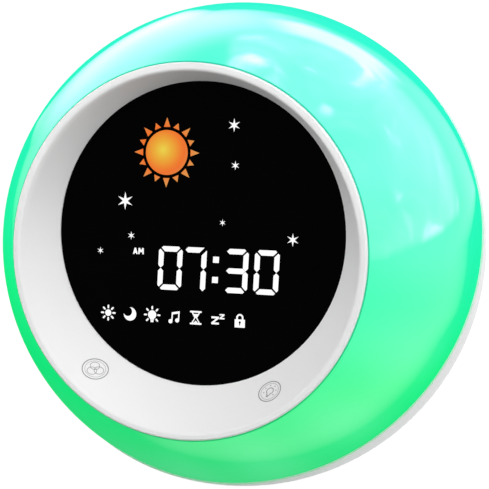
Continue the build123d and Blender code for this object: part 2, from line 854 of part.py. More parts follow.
def battery_door():
    """Cover cut from the ball's own outside, with a rail on each side and a ribbed thumb recess."""
    top = door_top_z - slide_gap
    door = door_blank(top, slide_gap) & rear_outside()
    grip_z = top - grip_drop
    grip_floor = back_y - grip_depth
    door -= on(BACK, plate(grip_w, grip_h, grip_floor, far, grip_h / 2 - 0.1, 0, grip_z))
    for k in (-1, 0, 1):
        rib_z = grip_z + k * grip_rib_pitch
        door += on(BACK, block(grip_rib_w, grip_rib_h, grip_floor - 0.1, back_y - grip_rib_sink, 0, rib_z))
    return door


# ------------------------------------------------------------------ boards at the back
def main_board_posts():
    x, z = main_board_w / 2 - board_screw_inset, main_board_h / 2 - board_screw_inset
    return [(sx * x, bay_z + sz * z) for sx in (-1, 1) for sz in (-1, 1)]


def main_board():
    board = plate(main_board_w, main_board_h, board_bottom, board_top, 1.5, 0, bay_z)
    for x, z in main_board_posts():
        board -= rod(small_screw_r + fit_gap, 0, far, x, z)
    return on(BACK, board)


def main_board_screws():
    screws = [pan_screw(small_screw_r, main_screw_length, x, z, board_bottom) for x, z in main_board_posts()]
    return on(BACK, group(screws))


def board_chips():
    """Processor, sound chip, clock crystal, coil and capacitors on the main board's front."""
    low = board_bottom
    chips = [
        block(10.0, 10.0, low - 1.4, low, -6.0, bay_z + 2.0),
        block(6.0, 5.0, low - 1.2, low, 10.0, bay_z + 5.0),
        block(8.0, 3.6, low - 2.4, low, 10.0, bay_z - 5.0),
        rod(3.2, low - 7.0, low, -20.0, bay_z - 4.0),
        rod(2.5, low - 5.5, low, -20.0, bay_z + 5.0),
        rod(3.0, low - 3.0, low, 20.0, bay_z - 1.0),
    ]
    return on(BACK, group(chips))


def board_connectors():
    """A row of white wire headers on the main board's front."""
    mouth = board_bottom - header_t
    z = bay_z - header_drop
    headers = []
    for x in header_places:
        header = block(header_w, header_h, mouth, board_bottom, x, z)
        inner_w, inner_h = header_w - 2 * header_wall, header_h - 2 * header_wall
        headers.append(header - block(inner_w, inner_h, mouth, board_bottom - header_floor, x, z))
    return on(BACK, group(headers))


def usb_screw_hole(radius):
    """Holes for the socket board's two screws, across the board and its shelf."""
    hole = Rot(90, 0, 0) * rod(radius, -usb_web, usb_web)
    left, right = [Pos(usb_x + side * usb_screw_x, usb_board_top, usb_screw_depth) for side in (-1, 1)]
    return left * hole + right * hole


def usb_shelf():
    """A shelf inside the panel, on two side webs, that the socket's board lies on."""
    top = usb_board_top - board_t
    shelf = block(usb_board_w, usb_shelf_t, -usb_board_length, 0, usb_x, top - usb_shelf_t / 2)
    for side in (-1, 1):
        web_x = usb_x + side * (usb_board_w - usb_web_t) / 2
        shelf += block(usb_web_t, usb_web, -usb_web, 0, web_x, top - usb_web / 2)
    return on(PANEL, shelf - usb_screw_hole(small_screw_r + pilot_gap))


def usb_board():
    middle = usb_board_top - board_t / 2
    width = usb_board_w - 2 * usb_board_side
    board = block(width, board_t, -usb_board_length, -slide_gap, usb_x, middle)
    return on(PANEL, board - usb_screw_hole(small_screw_r + fit_gap))


def usb_socket():
    """A metal tube with rounded sides and its centre tongue."""
    mouth = shell_wall - usb_set_back
    floor = mouth - usb_length
    outer = plate(usb_w, usb_h, floor, mouth, usb_h / 2 - 0.01, usb_x, usb_z)
    inner_w = usb_w - 2 * usb_metal_t
    inner_h = usb_h - 2 * usb_metal_t
    inner = plate(inner_w, inner_h, floor + usb_metal_t, mouth, inner_h / 2 - 0.01, usb_x, usb_z)
    tongue_w = inner_w - 2 * usb_tongue_gap
    tongue = block(tongue_w, usb_tongue_t, floor + usb_metal_t, mouth - usb_tongue_back, usb_x, usb_z)
    return on(PANEL, (outer - inner) + tongue)


def usb_board_screws():
    screws = []
    for side in (-1, 1):
        screw = Rot(90, 0, 0) * pan_screw(small_screw_r, usb_screw_length)
        screws.append(Pos(usb_x + side * usb_screw_x, usb_board_top, usb_screw_depth) * screw)
    return on(PANEL, group(screws))


def housing_screws():
    """Long screws from behind, through the columns and into the chassis bosses."""
    head_s = boss_end_s + boss_wall - housing_screw_seat
    screws = []
    for angle in housing_screw_angles:
        x, y = polar(housing_screw_r, angle)
        screws.append(pan_screw(screw_r, housing_screw_length, x, y, head_s))
    return on(SEAM, group(screws))


def foot_pad():
    """Soft round foot with one groove, let into the base."""
    pad = rod(pad_r, 0, pad_proud + pad_recess)
    pad = chamfer([e for e in circles(pad, pad_r) if e.arc_center.Z < 0.01], edge_round)
    groove_r = pad_r - pad_groove_inset
    return pad - tube(groove_r, groove_r - pad_groove_w, 0, pad_groove)


# ------------------------------------------------------------------ write every node
write("lamp_dome", lamp_dome())
write("face_bezel", face_bezel())
write("display_lens", display_lens())
write("picture_film", picture_film())
write("segment_lightbox", segment_lightbox())
write("display_leds", display_leds())
write("display_board", display_board())
write("display_screws", display_screws())
write("touch_springs", touch_springs())
write("light_chassis", light_chassis())
write("light_board", light_board())
write("colour_lights", colour_lights())
write("light_board_screws", light_board_screws())
write("rear_shell", rear_shell())
for key_name, key_x in zip(key_names, key_places()):
    write(key_name, key_cap(key_x))
    write(key_name + "_plunger", key_plunger(key_x))
write("tact_switches", tact_switches())
write("key_board", key_board())
write("key_board_screws", key_board_screws())
write("speaker_frame", speaker_frame())
write("speaker_magnet", speaker_magnet())
write("speaker_cone", speaker_cone())
write("speaker_gasket", speaker_gasket())
write("speaker_screws", speaker_screws())
write("battery_cells", battery_cells())
write("battery_springs", battery_springs())
write("battery_contacts", battery_contacts())
write("battery_door", battery_door())
write("main_board", main_board())
write("main_board_screws", main_board_screws())
write("board_chips", board_chips())
write("board_connectors", board_connectors())
write("usb_board", usb_board())
write("usb_socket", usb_socket())
write("usb_board_screws", usb_board_screws())
write("housing_screws", housing_screws())
write("foot_pad", foot_pad())
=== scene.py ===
# %% [markdown]
# A bedside clock and night light for a child's room. It is a ball: a dished white face in front, a milky dome
# round it that glows from inside, and a white shell behind. The solid parts come ready made, so this file
# gives them their finishes, adds what is printed or lit on them, and sets up a small studio.

# %% Load the parts
import math
import bpy
import bmesh
from mathutils import Matrix, Vector
from mathutils.geometry import tessellate_polygon


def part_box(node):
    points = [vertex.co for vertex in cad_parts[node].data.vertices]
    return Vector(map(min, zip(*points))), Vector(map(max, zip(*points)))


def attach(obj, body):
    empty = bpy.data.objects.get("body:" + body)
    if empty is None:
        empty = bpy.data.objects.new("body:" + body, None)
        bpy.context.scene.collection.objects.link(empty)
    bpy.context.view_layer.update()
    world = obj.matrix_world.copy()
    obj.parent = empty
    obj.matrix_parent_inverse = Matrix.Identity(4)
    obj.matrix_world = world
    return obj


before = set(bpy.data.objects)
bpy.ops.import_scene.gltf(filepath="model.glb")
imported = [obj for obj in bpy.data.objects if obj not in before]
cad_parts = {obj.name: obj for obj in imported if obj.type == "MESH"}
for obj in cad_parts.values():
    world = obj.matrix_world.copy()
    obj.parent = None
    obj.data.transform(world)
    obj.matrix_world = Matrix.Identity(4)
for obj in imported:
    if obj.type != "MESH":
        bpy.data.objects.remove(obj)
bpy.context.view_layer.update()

print("parts loaded:", len(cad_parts))

# %% [markdown]
# Everything on the face is laid out in the face's own directions: across, up the face, and out of it. The
# face leans back a little, so a place on it is turned into the clock's frame by one small function. The ball's
# centre and radius are read from the dome, and the height of the lens from the lens.

# %% The face's own directions
MM = 0.001
FACE_TILT = math.radians(10.0)
LENS_THICKNESS = 1.5 * MM
ACROSS = Vector((1, 0, 0))
UP = Vector((0, math.sin(FACE_TILT), math.cos(FACE_TILT)))
OUT = Vector((0, -math.cos(FACE_TILT), math.sin(FACE_TILT)))

dome_low, dome_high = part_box("lamp_dome")
dome_r = (dome_high.x - dome_low.x) / 2
centre = Vector((0, 0, dome_high.z - dome_r))
lens_low, lens_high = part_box("display_lens")
lens_middle = (lens_low + lens_high) / 2 - centre
lens_front = lens_middle.dot(OUT) + LENS_THICKNESS / 2


def on_face(across, up, out):
    """A point on the face, in metres, from its place across, up and out of the ball's centre."""
    return centre + ACROSS * across + UP * up + OUT * out


print("dome radius %.4f, lens front %.4f, display raised %.4f" % (dome_r, lens_front, lens_middle.dot(UP)))

# %% [markdown]
# The camera stands to the right of the face and a little above it, close enough for the near side of the ball
# to look large. A long lens frames the ball closely, and a small roll tips it a little.

# %% Camera
SENSOR_W = 36.0
LENS_MM = 105.0
CAMERA_AZIMUTH = 19.17
CAMERA_ELEVATION = 12.86
CAMERA_ROLL = -2.09
CAMERA_DISTANCE = 6.0 * dome_r
AIM_RIGHT = 0.0030 * dome_r
AIM_UP = -0.0047 * dome_r


def direction(azimuth, elevation):
    """The way out from the clock at two angles in degrees. Azimuth 0 is in front and 90 to the right."""
    turn, rise = math.radians(azimuth), math.radians(elevation)
    return Vector((math.sin(turn) * math.cos(rise), -math.cos(turn) * math.cos(rise), math.sin(rise)))


def camera_axes():
    """Right, up and backward directions of the camera."""
    turn = math.radians(CAMERA_AZIMUTH)
    back = direction(CAMERA_AZIMUTH, CAMERA_ELEVATION)
    level = Vector((math.cos(turn), math.sin(turn), 0))
    right = Matrix.Rotation(math.radians(CAMERA_ROLL), 3, back) @ level
    return right, back.cross(right), back


cam_right, cam_up, cam_back = camera_axes()
camera_data = bpy.data.cameras.new("camera")
camera_data.sensor_width = SENSOR_W
camera_data.lens = LENS_MM
camera_data.clip_start = 0.01
camera = bpy.data.objects.new("camera", camera_data)
bpy.context.scene.collection.objects.link(camera)
camera.matrix_world = Matrix((cam_right, cam_up, cam_back)).transposed().to_4x4()
camera.location = centre + cam_back * CAMERA_DISTANCE + cam_right * AIM_RIGHT + cam_up * AIM_UP
bpy.context.scene.camera = camera
print("camera right", [round(v, 3) for v in cam_right], "up", [round(v, 3) for v in cam_up])

# %% [markdown]
# A finish is a small tree of nodes. Every tree here starts the same way: one Principled shader, whose colour,
# roughness and bump are read from noise in the clock's own coordinates, so nothing slides when a piece moves.
# The helpers below keep each finish to a few lines, and the last of them puts a finish together.

# %% Helpers for the finishes
def new_finish(name):
    """A material with one Principled shader. Gives the material, its node tree and the shader."""
    material = bpy.data.materials.new(name)
    material.use_nodes = True
    tree = material.node_tree
    tree.nodes.clear()
    output = tree.nodes.new("ShaderNodeOutputMaterial")
    shader = tree.nodes.new("ShaderNodeBsdfPrincipled")
    tree.links.new(shader.outputs["BSDF"], output.inputs["Surface"])
    return material, tree, shader


def place_of(tree, stretch=(1, 1, 1), move=(0, 0, 0)):
    """The clock's own coordinates in metres, moved and stretched."""
    coordinates = tree.nodes.new("ShaderNodeTexCoord")
    mapping = tree.nodes.new("ShaderNodeMapping")
    mapping.inputs["Location"].default_value = move
    mapping.inputs["Scale"].default_value = stretch
    tree.links.new(coordinates.outputs["Object"], mapping.inputs["Vector"])
    return mapping.outputs["Vector"]


def noise(tree, size, detail=3.0, stretch=(1, 1, 1)):
    """Cloudy noise whose lumps are about as large as size, in metres."""
    node = tree.nodes.new("ShaderNodeTexNoise")
    node.inputs["Scale"].default_value = 1 / size
    node.inputs["Detail"].default_value = detail
    tree.links.new(place_of(tree, stretch), node.inputs["Vector"])
    return node.outputs["Fac"]


def ramp(tree, value, stops):
    """A colour ramp from a list of (position, colour)."""
    node = tree.nodes.new("ShaderNodeValToRGB")
    elements = node.color_ramp.elements
    while len(elements) < len(stops):
        elements.new(0.5)
    for element, (position, colour) in zip(elements, stops):
        element.position = position
        element.color = (*colour, 1)
    tree.links.new(value, node.inputs["Fac"])
    return node.outputs["Color"]


def grey_stops(levels):
    """Stops for a ramp that gives a number, from pairs of (position, level)."""
    return [(position, (level,) * 3) for position, level in levels]


def shade(colour, factor):
    return tuple(channel * factor for channel in colour)


def patchy(tree, value, colour, darkest):
    """A colour that noise darkens in soft patches, down to this share of it."""
    return ramp(tree, value, [(0.3, shade(colour, darkest)), (0.7, colour)])


def spread(tree, value, low=0.0, high=1.0, start=0.0, end=1.0, kind="LINEAR"):
    """Stretch a value that lies between start and end to lie between low and high."""
    node = tree.nodes.new("ShaderNodeMapRange")
    node.interpolation_type = kind
    for name, number in (("From Min", start), ("From Max", end), ("To Min", low), ("To Max", high)):
        node.inputs[name].default_value = number
    tree.links.new(value, node.inputs["Value"])
    return node.outputs["Result"]


def smooth(tree, value, start, end, low, high):
    """A soft step: low up to the start, high from the end on."""
    return spread(tree, value, low, high, start, end, "SMOOTHSTEP")


def feed(tree, socket, value):
    """Give a socket a number, a colour or another node's output."""
    if isinstance(value, bpy.types.NodeSocket):
        tree.links.new(value, socket)
    else:
        socket.default_value = value


def reckon(tree, operation, *values):
    """One step of arithmetic. Each value is a number or another node's output."""
    node = tree.nodes.new("ShaderNodeMath")
    node.operation = operation
    for socket, value in zip(node.inputs, values):
        feed(tree, socket, value)
    return node.outputs["Value"]


def vector_step(tree, operation, vector, other=None):
    """One step of vector arithmetic on a place, with a fixed second vector where it needs one."""
    node = tree.nodes.new("ShaderNodeVectorMath")
    node.operation = operation
    tree.links.new(vector, node.inputs[0])
    if other is not None:
        node.inputs[1].default_value = other
    return node


def along(tree, way):
    """How far a place lies from the ball's centre in a direction."""
    return vector_step(tree, "DOT_PRODUCT", place_of(tree, move=-centre), way).outputs["Value"]


def parts_of(tree, vector):
    """The three parts of a vector."""
    node = tree.nodes.new("ShaderNodeSeparateXYZ")
    tree.links.new(vector, node.inputs["Vector"])
    return [node.outputs[axis] for axis in "XYZ"]


def mixed(tree, blend, factor, colour, other):
    """A colour blended with a fixed one."""
    node = tree.nodes.new("ShaderNodeMixRGB")
    node.blend_type = blend
    tree.links.new(factor, node.inputs["Fac"])
    tree.links.new(colour, node.inputs["Color1"])
    node.inputs["Color2"].default_value = (*other, 1)
    return node.outputs["Color"]


def dress(tree, shader, colour, roughness, height, depth, gloss=0.5):
    """Give a shader its colour, roughness and gloss, and roughen it by a height that is depth metres deep."""
    bump = tree.nodes.new("ShaderNodeBump")
    bump.inputs["Distance"].default_value = depth
    tree.links.new(height, bump.inputs["Height"])
    sockets = ("Base Color", "Roughness", "Specular IOR Level", "Normal")
    for name, value in zip(sockets, (colour, roughness, gloss, bump.outputs["Normal"])):
        feed(tree, shader.inputs[name], value)


# %% [markdown]
# Moulded plastic is never quite flat or quite even. A fine grain from the mould breaks up its highlights, a
# slow wave shows where it shrank, and handling leaves patches that are a little smoother. One function makes
# all the opaque plastics, the rubber and the paper, with other colours, grain and gloss.

# %% Opaque finishes
COLOUR_PATCH = 30 * MM  # the size of the patches in which a colour changes
GLOSS_PATCH = 12 * MM
GLOSS_CHANGE = 0.12
GRAIN = 0.25 * MM
GRAIN_DEPTH = 0.004 * MM


def moulded(name, colour, roughness, grain=GRAIN, grain_depth=GRAIN_DEPTH, change=0.03):
    """Moulded plastic, rubber or card: fine grain, patchy gloss and a slight change of colour."""
    material, tree, shader = new_finish(name)
    patches = patchy(tree, noise(tree, COLOUR_PATCH, 2.0), colour, 1 - change)
    rough = spread(tree, noise(tree, GLOSS_PATCH), roughness * (1 - GLOSS_CHANGE), roughness * (1 + GLOSS_CHANGE))
    dress(tree, shader, patches, rough, noise(tree, grain, 2.0), grain_depth)
    return material


white_plastic = moulded("white plastic", (0.87, 0.865, 0.875), 0.30, change=0.012)
inner_white = moulded("reflector white", (0.86, 0.86, 0.84), 0.6)
key_plastic = moulded("key plastic", (0.80, 0.81, 0.84), 0.35)
rubber_grey = moulded("grey rubber", (0.30, 0.31, 0.33), 0.75, 0.5 * MM, 0.03 * MM, 0.15)
foam_black = moulded("black foam", (0.03, 0.03, 0.035), 0.95, 0.6 * MM, 0.12 * MM, 0.3)
cone_paper = moulded("cone paper", (0.05, 0.05, 0.055), 0.85, 0.4 * MM, 0.05 * MM, 0.3)
film_black = moulded("picture film", (0.006, 0.006, 0.007), 0.6)
chip_black = moulded("chip black", (0.02, 0.02, 0.022), 0.5, 0.15 * MM, 0.01 * MM, 0.2)
chip_white = moulded("chip white", (0.85, 0.80, 0.55), 0.45)
connector_white = moulded("connector white", (0.80, 0.78, 0.70), 0.4)
magnet_grey = moulded("magnet", (0.08, 0.08, 0.085), 0.55, 0.3 * MM, 0.02 * MM, 0.2)
print("opaque finishes made")

# %% [markdown]
# Rolled and drawn metal carries fine scratches along one direction, so its noise is stretched. The boards are
# fibreglass under a green lacquer, with the copper tracks showing through as paler lines. The cells wear a plain
# sleeve with a pale band near each end.

# %% Metal, board and cell finishes
SCRATCH = 0.6 * MM
SCRATCH_DEPTH = 0.01 * MM
SCRATCH_ROUGH = (0.7, 1.4)  # the least and the most roughness among the scratches, as shares of the metal's own
TRACK_CELL = 9 * MM
TRACK_W = 0.03  # as a share of the cell between the tracks
TRACK_DEPTH = 0.02 * MM
BOARD_GREENS = ((0.010, 0.10, 0.035), (0.012, 0.13, 0.045), (0.05, 0.30, 0.10))  # two of the lacquer, one over copper
LACQUER_ROUGH = (0.25, 0.4)
LACQUER_PATCH = 3 * MM
SLEEVE_HALF = 22 * MM
SLEEVE_PATCH = 4 * MM
SLEEVE_GRAIN = 0.5 * MM
SLEEVE_DEPTH = 0.01 * MM


def metal(name, colour, roughness, stretch=(1, 12, 1)):
    """Bare metal with fine scratches along one direction."""
    material, tree, shader = new_finish(name)
    scratches = noise(tree, SCRATCH, 6.0, stretch)
    streaks = ramp(tree, scratches, [(0.35, shade(colour, 0.8)), (0.65, colour)])
    rough = spread(tree, scratches, *(roughness * share for share in SCRATCH_ROUGH))
    dress(tree, shader, streaks, rough, scratches, SCRATCH_DEPTH)
    shader.inputs["Metallic"].default_value = 1.0
    return material


def circuit_board():
    """Green lacquer over copper tracks."""
    material, tree, shader = new_finish("circuit board")
    tracks = tree.nodes.new("ShaderNodeTexBrick")
    tracks.inputs["Scale"].default_value = 1 / TRACK_CELL
    tracks.inputs["Mortar Size"].default_value = TRACK_W
    for socket, green in zip(("Color1", "Color2", "Mortar"), BOARD_GREENS):
        tracks.inputs[socket].default_value = (*green, 1)
    tree.links.new(place_of(tree, (1, 1, 0.7)), tracks.inputs["Vector"])
    rough = spread(tree, noise(tree, LACQUER_PATCH), *LACQUER_ROUGH)
    dress(tree, shader, tracks.outputs["Color"], rough, tracks.outputs["Fac"], TRACK_DEPTH)
    return material


def cell_wrap():
    """A cell's plain grey-blue sleeve, with a pale band near each end."""
    material, tree, shader = new_finish("cell sleeve")
    from_middle = reckon(tree, "ABSOLUTE", parts_of(tree, place_of(tree))[0])
    share = spread(tree, from_middle, end=SLEEVE_HALF)
    blue, pale = (0.06, 0.10, 0.15), (0.60, 0.62, 0.64)
    stops = [(0.0, blue), (0.76, blue), (0.77, pale), (0.84, pale), (0.85, blue), (1.0, blue)]
    rough = spread(tree, noise(tree, SLEEVE_PATCH), *LACQUER_ROUGH)
    dress(tree, shader, ramp(tree, share, stops), rough, noise(tree, SLEEVE_GRAIN), SLEEVE_DEPTH)
    return material


steel = metal("steel", (0.62, 0.62, 0.63), 0.32)
spring_steel = metal("spring steel", (0.70, 0.69, 0.66), 0.22, (1, 1, 6))
board_green = circuit_board()
cell_sleeve = cell_wrap()
print("metal, board and cell finishes made")

# %% [markdown]
# The dome is milky plastic with a ring of coloured lamps behind it. Its light is bluish at the top and runs
# down to a full green, because each lamp has its own colour and the milky wall blends them. A row of soft pale
# places goes round it, partly the lamps' own light and partly a painted reflection of the pale surroundings, and its
# edge at the opening is darkened with painted shade, for the shadow in the gap to the white ring. It is made as a
# glossy skin over a colour that shines by itself, with slow clouds where the wall is thicker or thinner. The gloss
# fades towards the outline.

# %% Glowing dome
GLOW_STOPS = [
    (0.00, (0.070, 0.76, 0.24)),
    (0.10, (0.028, 0.80, 0.19)),
    (0.20, (0.000, 0.86, 0.17)),
    (0.34, (0.000, 0.98, 0.21)),
    (0.52, (0.005, 1.00, 0.40)),
    (0.76, (0.014, 1.00, 0.62)),
    (1.00, (0.022, 1.00, 0.70)),
]
GLOW_SLANT = 0.22  # the glow turns bluer to the right too, this much for each unit to the side
GLOW_STRENGTH = 0.78
MILK_COLOUR = (0.018, 0.20, 0.13)
# The pale ring is partly the lamps' own light and partly a painted reflection of the pale surroundings, added to the
# glow.
PALE_RING_OUT = 0.50 * dome_r  # how far out of the face the palest ring round the dome lies
PALE_RING_REACH = 0.40 * dome_r
PALE_GLOW_AND_REFLECTION = (0.07, 0.05, 0.10)
PALE_SPOTS = 15  # the ring is a row of soft pale places
PALE_WAVE = 0.25  # how much the ring's paleness changes from a pale place to a gap
PALE_TURN = math.radians(-23)
PALE_FROM_LEFT = (-0.45 * dome_r, 0.35 * dome_r)  # the ring is missing at the left and is full from here on
# The dark edge at the opening is painted shade, standing in for the shadow in the gap between the dome and the white
# ring.
SEAM_SHADE_W = 0.4 * MM  # how far from the opening the dome's dark edge ends
SEAM_PAINTED_SHADE = (0.45, 0.58, 0.62)
CLOUD_SIZE = 45 * MM
CLOUD_CHANGE = 0.12
SKIN_ROUGH = (0.05, 0.09)
SKIN_PATCH = 8 * MM
SKIN_WAVE = 9 * MM
SKIN_WAVE_DEPTH = 0.02 * MM
SKIN_SLACK = 0.3 * MM  # a corner this near the ball's radius is on the dome's outer side
GLOSS_SIDE = Vector((-0.60, 0.0, 0.80))  # the direction along which the gloss is described
GLOSS_SHIFTS = grey_stops((  # how much sooner the gloss fades, from the other side to that side
    (0.24, 0.33), (0.31, 0.13), (0.44, 0.15), (0.57, 0.21), (0.72, 0.25), (0.90, 0.20), (0.94, 0.09), (1.00, 0.18),
))
GLOSS_BELOW = 0.38  # the least shift low on the dome, next to the white table
GLOSS_LOW = (-0.30 * dome_r, 0.25 * dome_r)  # the heights, from the ball's centre, between which that ends
GLOSS_FADE = (0.82, 0.98)  # where the gloss starts to fade and has gone, as facing plus shift
GLOSS_FULL = 0.5

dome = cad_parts["lamp_dome"]
corners = [corner.co - centre for corner in dome.data.vertices]
opening_r = min(place.cross(OUT).length for place in corners if place.length > dome_r - SKIN_SLACK)


def gloss_level(tree):
    """Gloss that fades towards the dome's outline, sooner in some directions and soonest low down."""
    facing = tree.nodes.new("ShaderNodeLayerWeight")
    facing.inputs["Blend"].default_value = 0.5
    share = reckon(tree, "MULTIPLY_ADD", along(tree, GLOSS_SIDE), 0.5 / dome_r, 0.5)
    below = smooth(tree, along(tree, Vector((0, 0, 1))), *GLOSS_LOW, GLOSS_BELOW, 0.0)
    shift = reckon(tree, "MAXIMUM", ramp(tree, share, GLOSS_SHIFTS), below)
    shifted = reckon(tree, "ADD", facing.outputs["Facing"], shift)
    return smooth(tree, shifted, *GLOSS_FADE, GLOSS_FULL, 0.0)


def pale_ring_and_reflection(tree):
    """How pale the glow is made: most in a row of soft places round the dome, partly lamp light and partly painted
    reflection.
    """
    off_ring = reckon(tree, "ABSOLUTE", reckon(tree, "SUBTRACT", along(tree, OUT), PALE_RING_OUT))
    ring_share = smooth(tree, off_ring, 0.0, PALE_RING_REACH, 1.0, 0.0)
    angle = reckon(tree, "ARCTAN2", along(tree, UP), along(tree, ACROSS))
    wave = reckon(tree, "COSINE", reckon(tree, "MULTIPLY", reckon(tree, "SUBTRACT", angle, PALE_TURN), PALE_SPOTS))
    from_left = smooth(tree, along(tree, ACROSS), *PALE_FROM_LEFT, 0.0, 1.0)
    ring_share = reckon(tree, "MULTIPLY", ring_share, from_left)
    return reckon(tree, "MULTIPLY", ring_share, reckon(tree, "MULTIPLY_ADD", wave, PALE_WAVE, 1 - PALE_WAVE))


def opening_edge(tree):
    """1 at the dome's edge round the face, falling to 0 where its line of painted shade ends."""
    crossed = vector_step(tree, "CROSS_PRODUCT", place_of(tree, move=-centre), OUT).outputs["Vector"]
    from_axis = vector_step(tree, "LENGTH", crossed).outputs["Value"]
    return smooth(tree, from_axis, opening_r, opening_r + SEAM_SHADE_W, 1.0, 0.0)


def glowing_dome():
    material, tree, shader = new_finish("glowing dome")
    x, _, z = parts_of(tree, place_of(tree))
    slanted = reckon(tree, "MULTIPLY_ADD", x, GLOW_SLANT, z)
    height = spread(tree, slanted, start=dome_low.z, end=dome_high.z)
    clouds = reckon(tree, "MULTIPLY_ADD", noise(tree, CLOUD_SIZE, 2.0), CLOUD_CHANGE, -CLOUD_CHANGE / 2)
    glow = ramp(tree, reckon(tree, "ADD", height, clouds), GLOW_STOPS)
    # Lamp light and painted reflection together: the glow is made paler along the ring.
    glow = mixed(tree, "ADD", pale_ring_and_reflection(tree), glow, PALE_GLOW_AND_REFLECTION)
    edge = opening_edge(tree)
    # Painted shade darkens the glow at the opening, and the gloss is taken off there too.
    tree.links.new(mixed(tree, "MULTIPLY", edge, glow, SEAM_PAINTED_SHADE), shader.inputs["Emission Color"])
    shader.inputs["Emission Strength"].default_value = GLOW_STRENGTH
    milk = patchy(tree, noise(tree, COLOUR_PATCH), MILK_COLOUR, 0.93)
    rough = spread(tree, noise(tree, SKIN_PATCH, 4.0), *SKIN_ROUGH)
    gloss = reckon(tree, "MULTIPLY", gloss_level(tree), reckon(tree, "SUBTRACT", 1.0, edge))
    dress(tree, shader, milk, rough, noise(tree, SKIN_WAVE, 2.0), SKIN_WAVE_DEPTH, gloss)
    return material


dome_glow = glowing_dome()
print("dome finish made, opening radius %.4f" % opening_r)

# %% [markdown]
# The lens is a smoked disc: unlit, the whole display looks black, and only what shines behind it shows. A very
# dark surface with hardly any gloss does that job.

# %% Smoked lens
SMOKE_STOPS = [(0.3, (0.0002, 0.0002, 0.0003)), (0.7, (0.0004, 0.0004, 0.0005))]
SMOKE_PATCH = 20 * MM
LENS_ROUGH = (0.18, 0.26)
LENS_PATCH = 5 * MM
LENS_GLOSS = 0.012
FINE_GRAIN = 0.3 * MM
FINE_GRAIN_DEPTH = 0.001 * MM


def smoked_lens():
    material, tree, shader = new_finish("smoked lens")
    smoke = ramp(tree, noise(tree, SMOKE_PATCH), SMOKE_STOPS)
    rough = spread(tree, noise(tree, LENS_PATCH, 5.0), *LENS_ROUGH)
    dress(tree, shader, smoke, rough, noise(tree, FINE_GRAIN, 2.0), FINE_GRAIN_DEPTH, LENS_GLOSS)
    return material


lens_black = smoked_lens()

# %% [markdown]
# The white ring round the display is one moulding with two finishes: the dished wall is satin, so that it gives
# no glare next to the lit digits, and the lip round it is a little smoother. The lip is also painted whiter than the
# recessed dish, painted light on the lip and painted shade in the dish, more high on the face than low down, as the
# light falls; low on the face the two have the same white. Both come from one material that reads how far out of
# the face, and how far up it, a place lies.

# %% Satin dish and smoother lip, with painted light on the lip
# The lip's whiter colour is painted light, and the dish's duller white painted shade in the recess.
DISH_WHITE = (0.83, 0.828, 0.832)
LIP_PAINTED_LIGHT_WHITE = (0.95, 0.948, 0.95)
DISH_ROUGH = 0.42
LIP_ROUGH = 0.36
BEZEL_GLOSS = 0.12
LIP_DEPTH = 2.2 * MM  # how deep behind its foremost edge the lip's finish has ended
LOW_PAINTED_LIGHT = 0.42  # low on the face, dish and lip share one white this far from the dish's to the lip's
PAINTED_LIGHT_RISE = (0.0, 0.45 * dome_r)  # the heights up the face between which the two part
WHITE_CHANGE = 0.1
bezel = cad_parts["face_bezel"]
lip_front = max((corner.co - centre).dot(OUT) for corner in bezel.data.vertices)


def dish_and_painted_lip():
    """Satin white in the dish, turning smoother on the lip, which is painted whiter as painted light, less so low on
    the face.
    """
    material, tree, shader = new_finish("bezel white")
    lip = smooth(tree, along(tree, OUT), lip_front - LIP_DEPTH, lip_front - LIP_DEPTH / 3, 0.0, 1.0)
    rise = smooth(tree, along(tree, UP), *PAINTED_LIGHT_RISE, 0.0, 1.0)
    # Painted light: the lip is made whiter than the dish, and less so low on the face.
    white = reckon(tree, "MULTIPLY_ADD", reckon(tree, "SUBTRACT", lip, LOW_PAINTED_LIGHT), rise, LOW_PAINTED_LIGHT)
    white = reckon(tree, "MULTIPLY_ADD", noise(tree, COLOUR_PATCH, 2.0), WHITE_CHANGE, white)
    colour = ramp(tree, white, [(0.0, DISH_WHITE), (1.0, LIP_PAINTED_LIGHT_WHITE)])
    rough = spread(tree, lip, DISH_ROUGH, LIP_ROUGH)
    dress(tree, shader, colour, rough, noise(tree, GRAIN, 2.0), GRAIN_DEPTH, BEZEL_GLOSS)
    return material


bezel_white = dish_and_painted_lip()
print("lip stands %.4f out of the ball's centre" % lip_front)

# %% [markdown]
# Each ready-made part gets the finish that its material calls for.

# %% Finishes on the ready-made parts
NODE_FINISH = {
    "lamp_dome": dome_glow, "face_bezel": bezel_white, "display_lens": lens_black, "picture_film": film_black,
    "segment_lightbox": inner_white, "display_leds": chip_white, "touch_springs": spring_steel,
    "light_chassis": inner_white, "colour_lights": chip_white, "rear_shell": white_plastic,
    "tact_switches": chip_black, "speaker_magnet": magnet_grey, "speaker_cone": cone_paper,
    "speaker_gasket": foam_black, "battery_cells": cell_sleeve, "battery_springs": spring_steel,
    "battery_contacts": spring_steel, "battery_door": white_plastic, "board_chips": chip_black,
    "board_connectors": connector_white, "foot_pad": rubber_grey,
}
ENDINGS = (("_plunger", chip_white), ("_board", board_green), ("_screws", steel), ("_socket", steel),
           ("_frame", steel))


def finish_for(node):
    """The finish of a ready-made part, by its name or by how its name ends."""
    if node in NODE_FINISH:
        return NODE_FINISH[node]
    for ending, finish in ENDINGS:
        if node.endswith(ending):
            return finish
    return key_plastic


for node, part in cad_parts.items():
    part.data.materials.clear()
    part.data.materials.append(finish_for(node))
print("finishes given to", len(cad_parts), "parts")

# %% [markdown]
# What the display shows is light that comes through clear windows in a black film. On a real clock the film is
# printed, and all one sees from outside is lit shapes just under smoked plastic. Here each lit shape is a thin
# solid let into the lens's front. The shapes are drawn as flat outlines in metres across and up the face, and
# one function turns outlines, with or without holes, into a closed mesh.

